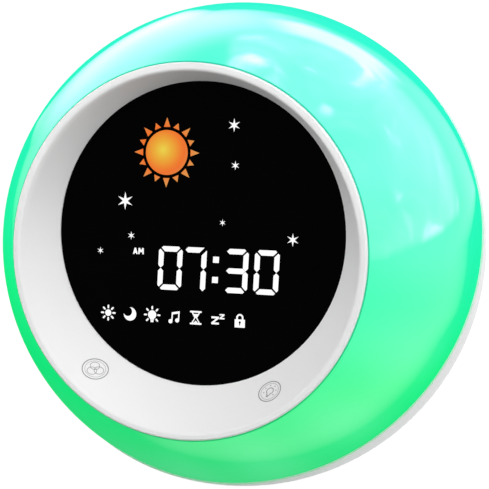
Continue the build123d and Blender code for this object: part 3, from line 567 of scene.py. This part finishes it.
# %% Turning outlines into thin solids
INLAY_DEPTH = 0.05 * MM
INLAY_PROUD = 0.06 * MM
INLAY_SPAN = (lens_front - INLAY_DEPTH, lens_front + INLAY_PROUD)
PICTURE_OFF = (-0.12 * MM, 0.26 * MM)  # how far across and up the whole picture sits in its opening
face_matrix = Matrix.Translation(on_face(*PICTURE_OFF, 0)) @ Matrix((ACROSS, UP, OUT)).transposed().to_4x4()


def closed_mesh(name, solid):
    """The mesh of a finished bmesh, with all its faces turned outwards."""
    bmesh.ops.recalc_face_normals(solid, faces=solid.faces)
    mesh = bpy.data.meshes.new(name)
    solid.to_mesh(mesh)
    solid.free()
    return mesh


def thin_solid(name, shapes, low, high):
    """A closed mesh with its local Z from low to high. A shape is a list of loops: its outline, then any holes."""
    solid = bmesh.new()
    for loops in shapes:
        flat = [point for loop in loops for point in loop]
        bottom = [solid.verts.new((x, y, low)) for x, y in flat]
        top = [solid.verts.new((x, y, high)) for x, y in flat]
        for a, b, c in tessellate_polygon([[Vector((x, y, 0)) for x, y in loop] for loop in loops]):
            solid.faces.new((top[a], top[b], top[c]))
            solid.faces.new((bottom[c], bottom[b], bottom[a]))
        first = 0
        for loop in loops:
            for k in range(len(loop)):
                a, b = first + k, first + (k + 1) % len(loop)
                solid.faces.new((bottom[a], bottom[b], top[b], top[a]))
            first += len(loop)
    return closed_mesh(name, solid)


def add_piece(name, mesh, finish, body):
    """Put a finished mesh into the scene as a piece that rides on a body."""
    mesh.materials.clear()
    mesh.materials.append(finish)
    piece = bpy.data.objects.new(name, mesh)
    bpy.context.scene.collection.objects.link(piece)
    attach(piece, body)
    print(name, len(mesh.polygons), "faces")


def let_in(name, mesh, finish):
    """Carry a mesh that was drawn flat to the face, where it lies in the lens's front."""
    mesh.transform(face_matrix)
    add_piece(name, mesh, finish, "housing")


def inlay(name, shapes, finish):
    """A lit shape let into the lens's front."""
    let_in(name, thin_solid(name, shapes, *INLAY_SPAN), finish)


# %% [markdown]
# All the signs are built from a few flat shapes: an arc, a disc, a block, a straight bar and a bar with round
# ends. A shape can be carried to its place with an offset, a scale and a turn.

# %% Flat shapes
def spot(x, y, radius, angle):
    """The point of a circle at an angle in degrees."""
    turn = math.radians(angle)
    return x + radius * math.cos(turn), y + radius * math.sin(turn)


def arc(x, y, radius, start, end, steps=12):
    """Points along an arc, angles in degrees."""
    return [spot(x, y, radius, start + (end - start) * k / steps) for k in range(steps + 1)]


def disc(x, y, radius, steps=32):
    return [arc(x, y, radius, 0, 360, steps)[:-1]]


def ring(x, y, radius, width, steps=32):
    return disc(x, y, radius + width / 2, steps) + disc(x, y, radius - width / 2, steps)


def block(x0, y0, x1, y1):
    """The corners of a rectangle, from its lower left to its upper right."""
    return [(x0, y0), (x1, y0), (x1, y1), (x0, y1)]


def bar(x0, y0, x1, y1, width, steps=1):
    """A straight bar from one point to another. Above 1, steps says how finely its ends are rounded."""
    turn = math.degrees(math.atan2(y1 - y0, x1 - x0))
    last = arc(x1, y1, width / 2, turn - 90, turn + 90, steps)
    first = arc(x0, y0, width / 2, turn + 90, turn + 270, steps)
    return [last + first]


def spokes(count, inner, outer, width):
    """Round-ended bars that point outwards, the first straight up."""
    angles = [90 + 360 / count * k for k in range(count)]
    return [bar(*spot(0, 0, inner, angle), *spot(0, 0, outer, angle), width, 4) for angle in angles]


def carried(shapes, x, y, size=1.0, turn=0.0):
    """Shapes scaled and turned about their origin, then moved."""
    cos, sin = math.cos(math.radians(turn)) * size, math.sin(math.radians(turn)) * size
    return [[[(x + px * cos - py * sin, y + px * sin + py * cos) for px, py in loop] for loop in loops]
            for loops in shapes]


# %% [markdown]
# Light through the film is not quite even: each window has one small chip behind it, so its colour wavers a
# little. The sun's window is tinted from yellow near its middle to a deep orange at its rim, and its rays are a
# little paler again. One function makes a lit window, and another gives it the colour of its light.

# %% Lit finishes
WAVER_SIZE = 3 * MM
WINDOW_DARK = (0.02, 0.02, 0.02, 1)
WINDOW_GLOSS = 0.1
WINDOW_PATCH = 2 * MM
SUN_ACROSS = -9.9 * MM
SUN_UP = 26.6 * MM
SUN_RAYS_R = 9.7 * MM
SUN_YELLOW_OFF = (-1.2 * MM, 1.0 * MM)  # how far across and up from the sun's middle its yellowest place lies
SUN_STOPS = [
    (0.00, (0.80, 0.62, 0.05)),
    (0.25, (0.80, 0.40, 0.02)),
    (0.55, (0.83, 0.19, 0.008)),
    (0.66, (0.83, 0.15, 0.006)),
    (1.00, (0.72, 0.27, 0.05)),
]


def white_glow(tree):
    """White light with a slight waver."""
    return patchy(tree, noise(tree, WAVER_SIZE, 2.0), (1.0, 1.0, 1.0), 0.94)


def sun_glow(tree):
    """Light that changes with the distance from the sun's yellowest place."""
    middle = on_face(SUN_ACROSS + SUN_YELLOW_OFF[0], SUN_UP + SUN_YELLOW_OFF[1], lens_front)
    distance = vector_step(tree, "LENGTH", place_of(tree, move=-middle)).outputs["Value"]
    return ramp(tree, spread(tree, distance, end=SUN_RAYS_R), SUN_STOPS)


def lit(name, glow, strength):
    """A window lit from behind."""
    material, tree, shader = new_finish(name)
    tree.links.new(glow(tree), shader.inputs["Emission Color"])
    shader.inputs["Emission Strength"].default_value = strength
    rough = spread(tree, noise(tree, WINDOW_PATCH), *LACQUER_ROUGH)
    dress(tree, shader, WINDOW_DARK, rough, noise(tree, FINE_GRAIN, 2.0), FINE_GRAIN_DEPTH, WINDOW_GLOSS)
    return material


lit_white = lit("lit white", white_glow, 1.05)
lit_sun = lit("lit sun", sun_glow, 1.0)
print("lit finishes made")

# %% [markdown]
# The time is shown in seven-segment digits. Each bar has a light well behind it in the light box, so the bars
# stand over the wells, to within a third of a millimetre. The ends of a bar are cut at 45 degrees, and where two
# bars meet at a corner their tips lie towards the outside, which leaves a hairline between them.

# %% Digits
DIGITS = {"0": "abcdef", "3": "abcdg", "7": "abc"}
TIME_SHOWN = (("0", -8.3 * MM), ("7", -1.15 * MM), ("3", 11.1 * MM), ("0", 20.0 * MM))
DIGIT_MIDDLE = -5.6 * MM
DIGIT_W = 7.1 * MM
DIGIT_H = 12.2 * MM
BAR_W = 1.48 * MM
BAR_GAP = 0.12 * MM
DIGIT_LEAN = math.radians(2.0)
COLON_X = 5.2 * MM
COLON_HEIGHTS = (-2.7 * MM, -8.3 * MM)
COLON_SIZE = 1.7 * MM
CORNER_TIP = 0.30 * MM  # how far a bar's tip lies outside its middle line at a corner
SHARP_TIP = 0.66 * MM
FOOT_REACH = 0.7 * MM  # how much further down the foot of a 7 reaches


def digit_bar(length, first_tip, last_tip):
    """A bar along X with its outer side up. The tips lie this far outside its middle line."""
    half, side = length / 2 - BAR_GAP / 2, BAR_W / 2
    return [(-half, first_tip), (-half + side - first_tip, side), (half - side + last_tip, side), (half, last_tip),
            (half - side - last_tip, -side), (-half + side + first_tip, -side)]


def digit(sign):
    """The lit bars of one digit about its middle, each turned so that its outer side is up."""
    across = (DIGIT_W - BAR_W) / 2
    rise = (DIGIT_H - BAR_W) / 2
    top = SHARP_TIP if sign == "7" else CORNER_TIP
    left = CORNER_TIP if sign == "0" else 0
    foot = 0 if sign == "7" else CORNER_TIP
    reach = FOOT_REACH if sign == "7" else 0
    bars = {  # length, tips at its start and end, place and turn
        "a": (2 * across, left, top, 0, rise, 0),
        "b": (rise, top, 0, across, rise / 2, -90),
        "c": (rise + reach, 0, foot, across, -(rise + reach) / 2, -90),
        "d": (2 * across, foot, left, 0, -rise, 180),
        "e": (rise, foot, 0, -across, -rise / 2, 90),
        "f": (rise, 0, left, -across, rise / 2, 90),
        "g": (2 * across, 0, 0, 0, 0, 0),
    }
    shapes = []
    for letter in DIGITS[sign]:
        length, start, end, x, y, turn = bars[letter]
        shapes += carried([[digit_bar(length, start, end)]], x, y, turn=turn)
    return shapes


def leaned(shapes):
    """Shapes slanted to the right by the digits' lean, about the row's middle."""
    slope = math.tan(DIGIT_LEAN)
    return [[[(x + (y - DIGIT_MIDDLE) * slope, y) for x, y in loop] for loop in loops] for loops in shapes]


bars = []
for sign, across in TIME_SHOWN:
    bars += carried(digit(sign), across, DIGIT_MIDDLE)
inlay("lit_digits", leaned(bars), lit_white)

half = COLON_SIZE / 2
dots = [[block(COLON_X - half, y - half, COLON_X + half, y + half)] for y in COLON_HEIGHTS]
inlay("lit_colon", leaned(dots), lit_white)

# %% [markdown]
# Beside the digits stands AM, and under them a row of seven small signs: day, night, lamp, sound, timer, snooze
# and key lock. They are drawn about their own middles in millimetres and carried to their places in the row.

# %% AM and the row of signs
AM_PLACE = (-17.9 * MM, -1.2 * MM)
AM_SIZE = 0.95
SIGN_ROW = -19.1 * MM
SIGN_PLACES = (-26.9, -20.2, -13.45, -6.8, -0.35, 6.1, 12.6)
SIGN_SIZE = 0.95


def letters_am():
    strokes = [(-1.55, -0.9, -1.05, 0.9), (-1.05, 0.9, -0.45, -0.9), (-1.35, -0.35, -0.65, -0.35),
               (0.12, -0.9, 0.22, 0.9), (0.22, 0.9, 0.80, -0.3), (0.80, -0.3, 1.42, 0.9), (1.42, 0.9, 1.46, -0.9)]
    return [bar(*stroke, 0.42) for stroke in strokes]


def day_sign():
    return [disc(0, 0, 0.98)] + spokes(8, 1.55, 2.15, 0.52)


def night_sign():
    """A crescent: a disc with a smaller disc bitten out of its upper left."""
    radius, bite, off = 2.0, 1.42, 1.05
    outer = math.degrees(math.acos((off**2 + radius**2 - bite**2) / (2 * off * radius)))
    inner = math.degrees(math.acos((off**2 + bite**2 - radius**2) / (2 * off * bite)))
    x, y = -off / math.sqrt(2), off / math.sqrt(2)
    outside = arc(0, 0, radius, 135 + outer, 495 - outer, 28)
    inside = arc(x, y, bite, inner - 45, -45 - inner, 20)
    return [[outside + inside[1:-1]]]


def lamp_sign():
    bulb = arc(0, 0.15, 1.3, -62, 242, 24)
    neck = [(-0.55, -1.35), (0.55, -1.35)]
    base = [[(-0.5, -1.45), (0.5, -1.45), (0.42, -2.05), (-0.42, -2.05)]]
    rays = carried(spokes(8, 1.85, 2.4, 0.5), 0, 0.1)
    del rays[4]
    return [[bulb + neck], base] + rays


def sound_sign():
    heads = [arc(0, 0, 0.62, 0, 360, 16)[:-1]]
    shapes = carried([heads], -1.15, -1.45) + carried([heads], 0.95, -1.1)
    shapes += [bar(-0.72, -1.4, -0.58, 1.0, 0.36), bar(1.38, -1.05, 1.52, 1.45, 0.36)]
    shapes.append([[(-0.76, 0.55), (1.70, 1.0), (1.70, 1.65), (-0.76, 1.2)]])
    return shapes


def timer_sign():
    shapes = [bar(-1.6, 1.75, 1.6, 1.75, 0.5, 3), bar(-1.6, -1.75, 1.6, -1.75, 0.5, 3)]
    for side in (-1, 1):
        glass = [(1.35, 1.6), (0.95, 1.6), (0.08, 0.0), (0.95, -1.6), (1.35, -1.6), (0.42, 0.0)]
        shapes.append([[(side * x, y) for x, y in glass]])
    shapes.append([[(-0.68, 1.1), (0.68, 1.1), (0.0, -0.1)]])
    shapes.append([[(-0.7, -1.55), (0.7, -1.55), (0.0, -0.85)]])
    return shapes


def letter_z(width, height, stroke):
    x, y = width / 2, height / 2
    return [[(-x, y), (x, y), (x, y - stroke), (-x + stroke * 1.5, -y + stroke), (x, -y + stroke), (x, -y), (-x, -y),
             (-x, -y + stroke), (x - stroke * 1.5, y - stroke), (-x, y - stroke)]]


def snooze_sign():
    return carried([letter_z(2.3, 2.3, 0.55)], -0.75, -0.45) + carried([letter_z(1.5, 1.5, 0.4)], 1.35, 0.75)


def lock_sign():
    keyhole = [(-0.16, -1.5), (0.16, -1.5), (0.16, -0.95)] + arc(0, -0.62, 0.36, -60, 240, 10) + [(-0.16, -0.95)]
    body = [block(-1.55, -2.1, 1.55, 0.25), keyhole]
    shackle = [(1.1, 0.2)] + arc(0, 0.75, 1.1, 0, 180, 14) + [(-1.1, 0.2), (-0.62, 0.2)]
    shackle += arc(0, 0.75, 0.62, 180, 0, 12) + [(0.62, 0.2)]
    return [body, [shackle]]


SIGNS = (("day", day_sign), ("night", night_sign), ("lamp", lamp_sign), ("sound", sound_sign),
         ("timer", timer_sign), ("snooze", snooze_sign), ("lock", lock_sign))
for (name, draw), across in zip(SIGNS, SIGN_PLACES):
    inlay("lit_" + name + "_sign", carried(draw(), across * MM, SIGN_ROW, SIGN_SIZE * MM), lit_white)
inlay("lit_am", carried(letters_am(), *AM_PLACE, AM_SIZE * MM), lit_white)

# %% [markdown]
# The stars and the sun's rays are one small shape each, repeated with other places, sizes and turns. A node
# group does that: it sets a copy of a shape on every point it is given, with the size and the turn that the
# point carries, and joins the copies into one mesh.

# %% Copies on points
def copies_group():
    group = bpy.data.node_groups.new("copies on points", "GeometryNodeTree")
    sockets = {}
    for name, kind in (("Points", "Geometry"), ("Shape", "Object"), ("Finish", "Material")):
        sockets[name] = group.interface.new_socket(name, in_out="INPUT", socket_type="NodeSocket" + kind)
    group.interface.new_socket("Copies", in_out="OUTPUT", socket_type="NodeSocketGeometry")
    start = group.nodes.new("NodeGroupInput")
    shape = group.nodes.new("GeometryNodeObjectInfo")
    copies = group.nodes.new("GeometryNodeInstanceOnPoints")
    joined = group.nodes.new("GeometryNodeRealizeInstances")
    finish = group.nodes.new("GeometryNodeSetMaterial")
    end = group.nodes.new("NodeGroupOutput")
    link = group.links.new
    link(start.outputs["Points"], copies.inputs["Points"])
    link(start.outputs["Shape"], shape.inputs["Object"])
    link(shape.outputs["Geometry"], copies.inputs["Instance"])
    for name, socket in (("size", "Scale"), ("turn", "Rotation")):
        carried_value = group.nodes.new("GeometryNodeInputNamedAttribute")
        carried_value.data_type = "FLOAT_VECTOR"
        carried_value.inputs["Name"].default_value = name
        link(carried_value.outputs["Attribute"], copies.inputs[socket])
    link(copies.outputs["Instances"], joined.inputs["Geometry"])
    link(joined.outputs["Geometry"], finish.inputs["Geometry"])
    link(start.outputs["Finish"], finish.inputs["Material"])
    link(finish.outputs["Geometry"], end.inputs["Copies"])
    return group, {name: socket.identifier for name, socket in sockets.items()}


copies_nodes, copies_sockets = copies_group()


def copies(name, shape_mesh, places, finish):
    """One mesh with a copy of a shape at every place: (point, size across, size up, turn in degrees)."""
    points = bpy.data.meshes.new(name + " points")
    points.from_pydata([place[0] for place in places], [], [])
    sizes = points.attributes.new("size", "FLOAT_VECTOR", "POINT")
    turns = points.attributes.new("turn", "FLOAT_VECTOR", "POINT")
    for k, (_, wide, tall, turn) in enumerate(places):
        sizes.data[k].vector = (wide, tall, 1)
        turns.data[k].vector = (0, 0, math.radians(turn))
    shape = bpy.data.objects.new(name + " shape", shape_mesh)
    carrier = bpy.data.objects.new(name + " carrier", points)
    for helper in (shape, carrier):
        bpy.context.scene.collection.objects.link(helper)
    modifier = carrier.modifiers.new("copies", "NODES")
    modifier.node_group = copies_nodes
    modifier[copies_sockets["Shape"]] = shape
    modifier[copies_sockets["Finish"]] = finish
    mesh = bpy.data.meshes.new_from_object(carrier.evaluated_get(bpy.context.evaluated_depsgraph_get()))
    carrier.modifiers.remove(modifier)
    for helper in (shape, carrier):
        bpy.data.objects.remove(helper)
    mesh.name = name
    return mesh


# %% [markdown]
# A star has six thin points. The sun is a plain disc inside a ring of pointed rays, long and short in turn.

# %% Stars and sun
STARS = (  # across, up, size, all in millimetres
    (9.84, 34.4, 3.7),
    (10.4, 23.4, 2.5),
    (-22.2, 12.8, 5.0),
    (7.0, 7.6, 1.9),
    (-20.2, 3.1, 2.3),
    (-29.6, -1.5, 2.0),
    (27.3, 3.6, 3.6),
)
STAR_WAIST = 0.30  # the notches between the points, as a share of the star's radius
SUN_R = 6.25 * MM
RAY_COUNT = 16
RAY_INNER = 7.1 * MM
RAY_W = 1.9 * MM
LONG_RAY = 2.6 * MM
SHORT_RAY = 1.7 * MM


def star_outline():
    """A six-pointed star one metre across, scaled by its place."""
    return [spot(0, 0, 0.5 * STAR_WAIST if k % 2 else 0.5, 90 + 30 * k) for k in range(12)]


star_shape = thin_solid("star", [[star_outline()]], *INLAY_SPAN)
star_places = [((x * MM, y * MM, 0), size * MM, size * MM, 0) for x, y, size in STARS]
let_in("lit_stars", copies("lit_stars", star_shape, star_places, lit_white), lit_white)

ray_shape = thin_solid("ray", [[[(-0.5, 0), (0.5, 0), (0, 1)]]], *INLAY_SPAN)
ray_places = []
for k in range(RAY_COUNT):
    turn = 360 / RAY_COUNT * k
    foot = spot(SUN_ACROSS, SUN_UP, RAY_INNER, 90 + turn)
    ray_places.append(((*foot, 0), RAY_W, SHORT_RAY if k % 2 else LONG_RAY, turn))
let_in("lit_sun_rays", copies("lit_sun_rays", ray_shape, ray_places, lit_sun), lit_sun)
inlay("lit_sun_disc", [disc(SUN_ACROSS, SUN_UP, SUN_R, 64)], lit_sun)

# %% [markdown]
# Two touch keys are printed low on the dish, one for the light's colour and one for the lamp. Their rings and
# signs are thin grey lines that follow the curved wall. Each line is drawn flat, then every point of it is
# dropped on the dish along the wall's own normal, and the line gets a small width and thickness there.

# %% Lines printed on the dish
PRINT_HEIGHT = 0.04 * MM
PRINT_SINK = 0.03 * MM
TOUCH_KEYS = {"colour": (-27.8 * MM, -34.15 * MM), "lamp": (23.6 * MM, -36.8 * MM)}
TOUCH_R = 3.7 * MM
TOUCH_RING_W = 0.28 * MM
FINE_RING_R = 0.8 * TOUCH_R
FINE_RING_W = 0.10 * MM
TOUCH_SQUEEZE = 0.86  # the printed rings are a little wider than tall
DROP_FROM = 10  # how far off the dish, in millimetres, a line's points start to drop
LOOK_FROM = 30 * MM  # how far in front of the lens the place of a key is looked for


def printed_line(solid, points, width, closed, frame_axes):
    """Add one line to a mesh. The points are flat, and the axes say where they are and which way they drop."""
    middle, right, up, drop = frame_axes
    spots = []
    for x, y in points:
        start = middle + right * x + up * y * TOUCH_SQUEEZE - drop * DROP_FROM * MM
        _, place, normal, _ = bezel.ray_cast(start, drop)
        spots.append((place, normal))
    sections = []
    count = len(spots)
    for k, (place, normal) in enumerate(spots):
        after = spots[(k + 1) % count][0] if closed or k + 1 < count else place
        before = spots[k - 1][0] if closed or k else place
        side = (after - before).cross(normal).normalized() * width / 2
        corners = (place - side - normal * PRINT_SINK, place + side - normal * PRINT_SINK,
                   place + side + normal * PRINT_HEIGHT, place - side + normal * PRINT_HEIGHT)
        sections.append([solid.verts.new(corner) for corner in corners])
    for k in range(count if closed else count - 1):
        one, two = sections[k], sections[(k + 1) % count]
        for a in range(4):
            b = (a + 1) % 4
            solid.faces.new((one[a], one[b], two[b], two[a]))
    if not closed:
        solid.faces.new(sections[0])
        solid.faces.new(sections[-1][::-1])


def dish_axes(x, y):
    """Middle, right, up and dropping directions of a small flat drawing on the dish."""
    _, place, normal, _ = bezel.ray_cast(on_face(x, y, lens_front + LOOK_FROM), -OUT)
    right = UP.cross(normal).normalized()
    return place, right, normal.cross(right), -normal


def touch_print(name, lines):
    """lines is a list of (points, width, closed), drawn about the touch key's middle."""
    axes = dish_axes(*TOUCH_KEYS[name])
    solid = bmesh.new()
    for points, width, closed in lines:
        printed_line(solid, points, width, closed, axes)
    add_piece("touch_print_" + name, closed_mesh("touch_print_" + name, solid), print_grey, "housing")


def loop(x, y, radius, width, steps=32):
    return arc(x, y, radius, 0, 360, steps)[:-1], width, True


def key_rings():
    """The bold ring round a touch key and the fine one inside it."""
    return [loop(0, 0, TOUCH_R, TOUCH_RING_W, 64), loop(0, 0, FINE_RING_R, FINE_RING_W, 56)]


def colour_key_lines():
    """Three overlapping rings in a ring."""
    middles = [spot(0, 0, 1.15 * MM, angle) for angle in (90, 210, 330)]
    return key_rings() + [loop(x, y, 1.35 * MM, 0.16 * MM) for x, y in middles]


def lamp_key_lines():
    """A light bulb with dots round it, in a ring."""
    lines = key_rings()
    glass = arc(0, 0.15 * MM, 1.15 * MM, -62, 242, 24) + [(-0.45 * MM, -1.45 * MM), (0.45 * MM, -1.45 * MM)]
    lines.append((glass, 0.24 * MM, True))
    for y in (-1.75 * MM, -2.05 * MM):
        lines.append(([(-0.4 * MM, y), (0.4 * MM, y)], 0.18 * MM, False))
    for angle in range(-30, 211, 48):
        x, y = spot(0, 0.15 * MM, 2.1 * MM, angle)
        lines.append(loop(x, y, 0.10 * MM, 0.18 * MM, 8))
    return lines


print_grey = moulded("grey print", (0.30, 0.30, 0.31), 0.6, 0.3 * MM, 0.002 * MM, 0.1)
touch_print("colour", colour_key_lines())
touch_print("lamp", lamp_key_lines())

# %% [markdown]
# The five keys at the back each carry a small printed sign, and the battery door an arrow that says which way
# it slides. Each sign rides on the part it is printed on.

# %% Signs at the back
BACK_AXES = Matrix(((-1, 0, 0), (0, 0, 1), (0, 1, 0))).transposed().to_4x4()
DOOR_ARROW_DROP = 14.5 * MM


def bell_sign():
    body = arc(0, 0.2, 1.0, 0, 180, 14) + [(-1.15, -0.8), (-1.5, -1.15), (1.5, -1.15), (1.15, -0.8)]
    return [[body], disc(0, -1.55, 0.3, 12), disc(0, 1.35, 0.25, 12)]


def clock_sign():
    return [ring(0, 0, 1.45, 0.35), bar(0, 0, 0, 0.9, 0.3, 3), bar(0, 0, 0.65, -0.3, 0.3, 3)]


def up_sign():
    return [[[(-1.35, -0.8), (1.35, -0.8), (0, 1.2)]]]


def down_sign():
    return [[[(-1.35, 0.8), (0, -1.2), (1.35, 0.8)]]]


def back_sign(node, shapes, drop=None):
    """A sign printed on the rearmost face of a part, at its middle or this far below its top."""
    low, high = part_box(node)
    mesh = thin_solid("sign_" + node, carried(shapes, 0, 0, MM), -PRINT_SINK, PRINT_HEIGHT)
    place = Vector(((low.x + high.x) / 2, high.y, (low.z + high.z) / 2 if drop is None else high.z - drop))
    mesh.transform(Matrix.Translation(place) @ BACK_AXES)
    add_piece("sign_" + node, mesh, print_grey, node)


KEY_SIGNS = {"key_alarm": bell_sign(), "key_time": clock_sign(), "key_up": up_sign(), "key_down": down_sign(),
             "key_snooze": [letter_z(1.9, 2.1, 0.5)]}
for key, shapes in KEY_SIGNS.items():
    back_sign(key, shapes)
back_sign("battery_door", carried(down_sign(), 0, 0, 2.0), DOOR_ARROW_DROP)

# %% [markdown]
# The studio is a pale floor, a pale room and a few soft lamps. A lamp is placed by its direction from the
# clock, and its brightness is stated for each square metre of it, so that a larger lamp gives a larger mirror
# image in the dome and not a brighter one. A lamp here has one task: either it lights the clock, or it only shows
# in the glossy surfaces, with edges that fade as those of real soft lamps do. So both can be set on their own.

# %% Studio
bpy.context.scene.view_settings.view_transform = "Standard"
ROOM_LIGHT = 0.30
FLOOR_SIZE = 12.0
FLOOR_GREY = (0.38, 0.38, 0.38, 1)
FLOOR_ROUGH = 0.9
FLOOR_GLOSS = 0.1
FLOOR_OWN = 0.78  # how much of the floor's look is its own white
FLOOR_WHITE = 1.26
LAMP_DISTANCE = 1.2
LAMPS = (  # name, azimuth, elevation, width, height, brightness, turn, and how far a mirrored lamp's edges fade
    ("key lamp", 8, 50, 0.95, 0.75, 2.65, 0, None),
    ("key panel", 8, 50, 1.2, 1.0, 2.2, 0, (0.4, 0.4)),
    ("left fill", -55, 26, 0.75, 0.75, 2.0, 0, None),
    ("right fill", 70, 6, 0.75, 0.75, 4.7, 0, None),
    ("back fill", 168, 20, 0.9, 0.9, 2.5, 0, None),
    ("back left panel", -138, 38, 1.6, 1.4, 2.7, 0, (0.36, 0.36)),
    ("right panel", 108, 46, 2.4, 2.7, 3.1, 0, (0.22, 0.06)),
    ("high strip", 170, 38, 0.76, 0.42, 4.8, 34, (0.3, 0.3)),
    ("high spot", 176, 75.5, 0.28, 0.18, 7.0, 0, (0.45, 0.45)),
    ("side spot", 99, 57, 0.16, 0.15, 8.0, 0, (0.45, 0.45)),
)
CREASED_LAMP = "right panel"  # the one that looks like creased cloth
CREASE_NOISE = {"Scale": 3.0, "Detail": 3.0, "Distortion": 1.6}
CREASE_STOPS = grey_stops(((0.38, 0.6), (0.54, 0.85), (0.59, 1.4), (0.66, 2.6)))


def camera_or_mirror(tree):
    """1 for what the camera sees straight, in a mirror or through glass, and 0 for light that falls."""
    path = tree.nodes.new("ShaderNodeLightPath")
    both = reckon(tree, "MAXIMUM", path.outputs["Is Camera Ray"], path.outputs["Is Glossy Ray"])
    return reckon(tree, "MAXIMUM", both, path.outputs["Is Transmission Ray"])


def pale_room():
    world = bpy.data.worlds.new("pale room")
    world.use_nodes = True
    tree = world.node_tree
    background = tree.nodes["Background"]
    background.inputs["Color"].default_value = (1, 1, 1, 1)
    tree.links.new(spread(tree, camera_or_mirror(tree), ROOM_LIGHT, 1.0), background.inputs["Strength"])
    bpy.context.scene.world = world


def pale_floor():
    mesh = bpy.data.meshes.new("floor")
    half = FLOOR_SIZE / 2
    mesh.from_pydata([(x, y, 0) for x, y in block(-half, -half, half, half)], [], [(0, 1, 2, 3)])
    floor = bpy.data.objects.new("floor", mesh)
    bpy.context.scene.collection.objects.link(floor)
    material, tree, shader = new_finish("pale floor")
    shader.inputs["Base Color"].default_value = FLOOR_GREY
    shader.inputs["Roughness"].default_value = FLOOR_ROUGH
    shader.inputs["Specular IOR Level"].default_value = FLOOR_GLOSS
    white = tree.nodes.new("ShaderNodeEmission")
    white.inputs["Strength"].default_value = FLOOR_WHITE
    mix = tree.nodes.new("ShaderNodeMixShader")
    tree.links.new(spread(tree, camera_or_mirror(tree), 0.0, FLOOR_OWN), mix.inputs["Fac"])
    tree.links.new(shader.outputs["BSDF"], mix.inputs[1])
    tree.links.new(white.outputs["Emission"], mix.inputs[2])
    output = next(node for node in tree.nodes if node.type == "OUTPUT_MATERIAL")
    tree.links.new(mix.outputs["Shader"], output.inputs["Surface"])
    mesh.materials.append(material)


def soft_edge(tree, place, width):
    """1 over the middle of a lamp, falling to 0 at its two sides over this share of its size."""
    off_middle = reckon(tree, "ABSOLUTE", reckon(tree, "SUBTRACT", place, 0.5))
    return smooth(tree, off_middle, 0.5 - width, 0.5, 1.0, 0.0)


def fade_edges(data, side_fall, end_fall, creased):
    """Light that ends softly at a lamp's sides and ends, and may look like creased cloth."""
    data.use_nodes = True
    tree = data.node_tree
    surface = tree.nodes.new("ShaderNodeNewGeometry").outputs["Parametric"]
    x, y, _ = parts_of(tree, surface)
    strength = reckon(tree, "MULTIPLY", soft_edge(tree, x, side_fall), soft_edge(tree, y, end_fall))
    if creased:
        folds = tree.nodes.new("ShaderNodeTexNoise")
        for name, number in CREASE_NOISE.items():
            folds.inputs[name].default_value = number
        tree.links.new(surface, folds.inputs["Vector"])
        strength = reckon(tree, "MULTIPLY", strength, ramp(tree, folds.outputs["Fac"], CREASE_STOPS))
    tree.links.new(strength, tree.nodes["Emission"].inputs["Strength"])


def soft_lamp(name, azimuth, elevation, width, height, brightness, turn, falls):
    """A soft lamp that faces the clock. With falls it only shows in glossy surfaces, without it only lights."""
    data = bpy.data.lights.new(name, "AREA")
    data.shape = "RECTANGLE"
    data.size, data.size_y = width, height
    data.energy = brightness * math.pi * width * height
    lamp = bpy.data.objects.new(name, data)
    lamp.visible_diffuse = falls is None
    lamp.visible_glossy = falls is not None
    bpy.context.scene.collection.objects.link(lamp)
    away = direction(azimuth, elevation)
    facing = away.to_track_quat("Z", "Y").to_matrix() @ Matrix.Rotation(math.radians(turn), 3, "Z")
    lamp.matrix_world = Matrix.Translation(centre + away * LAMP_DISTANCE) @ facing.to_4x4()
    if falls:
        fade_edges(data, *falls, creased=name == CREASED_LAMP)


pale_room()
pale_floor()
for lamp_row in LAMPS:
    soft_lamp(*lamp_row)
print("studio set up with", len(LAMPS), "lamps")
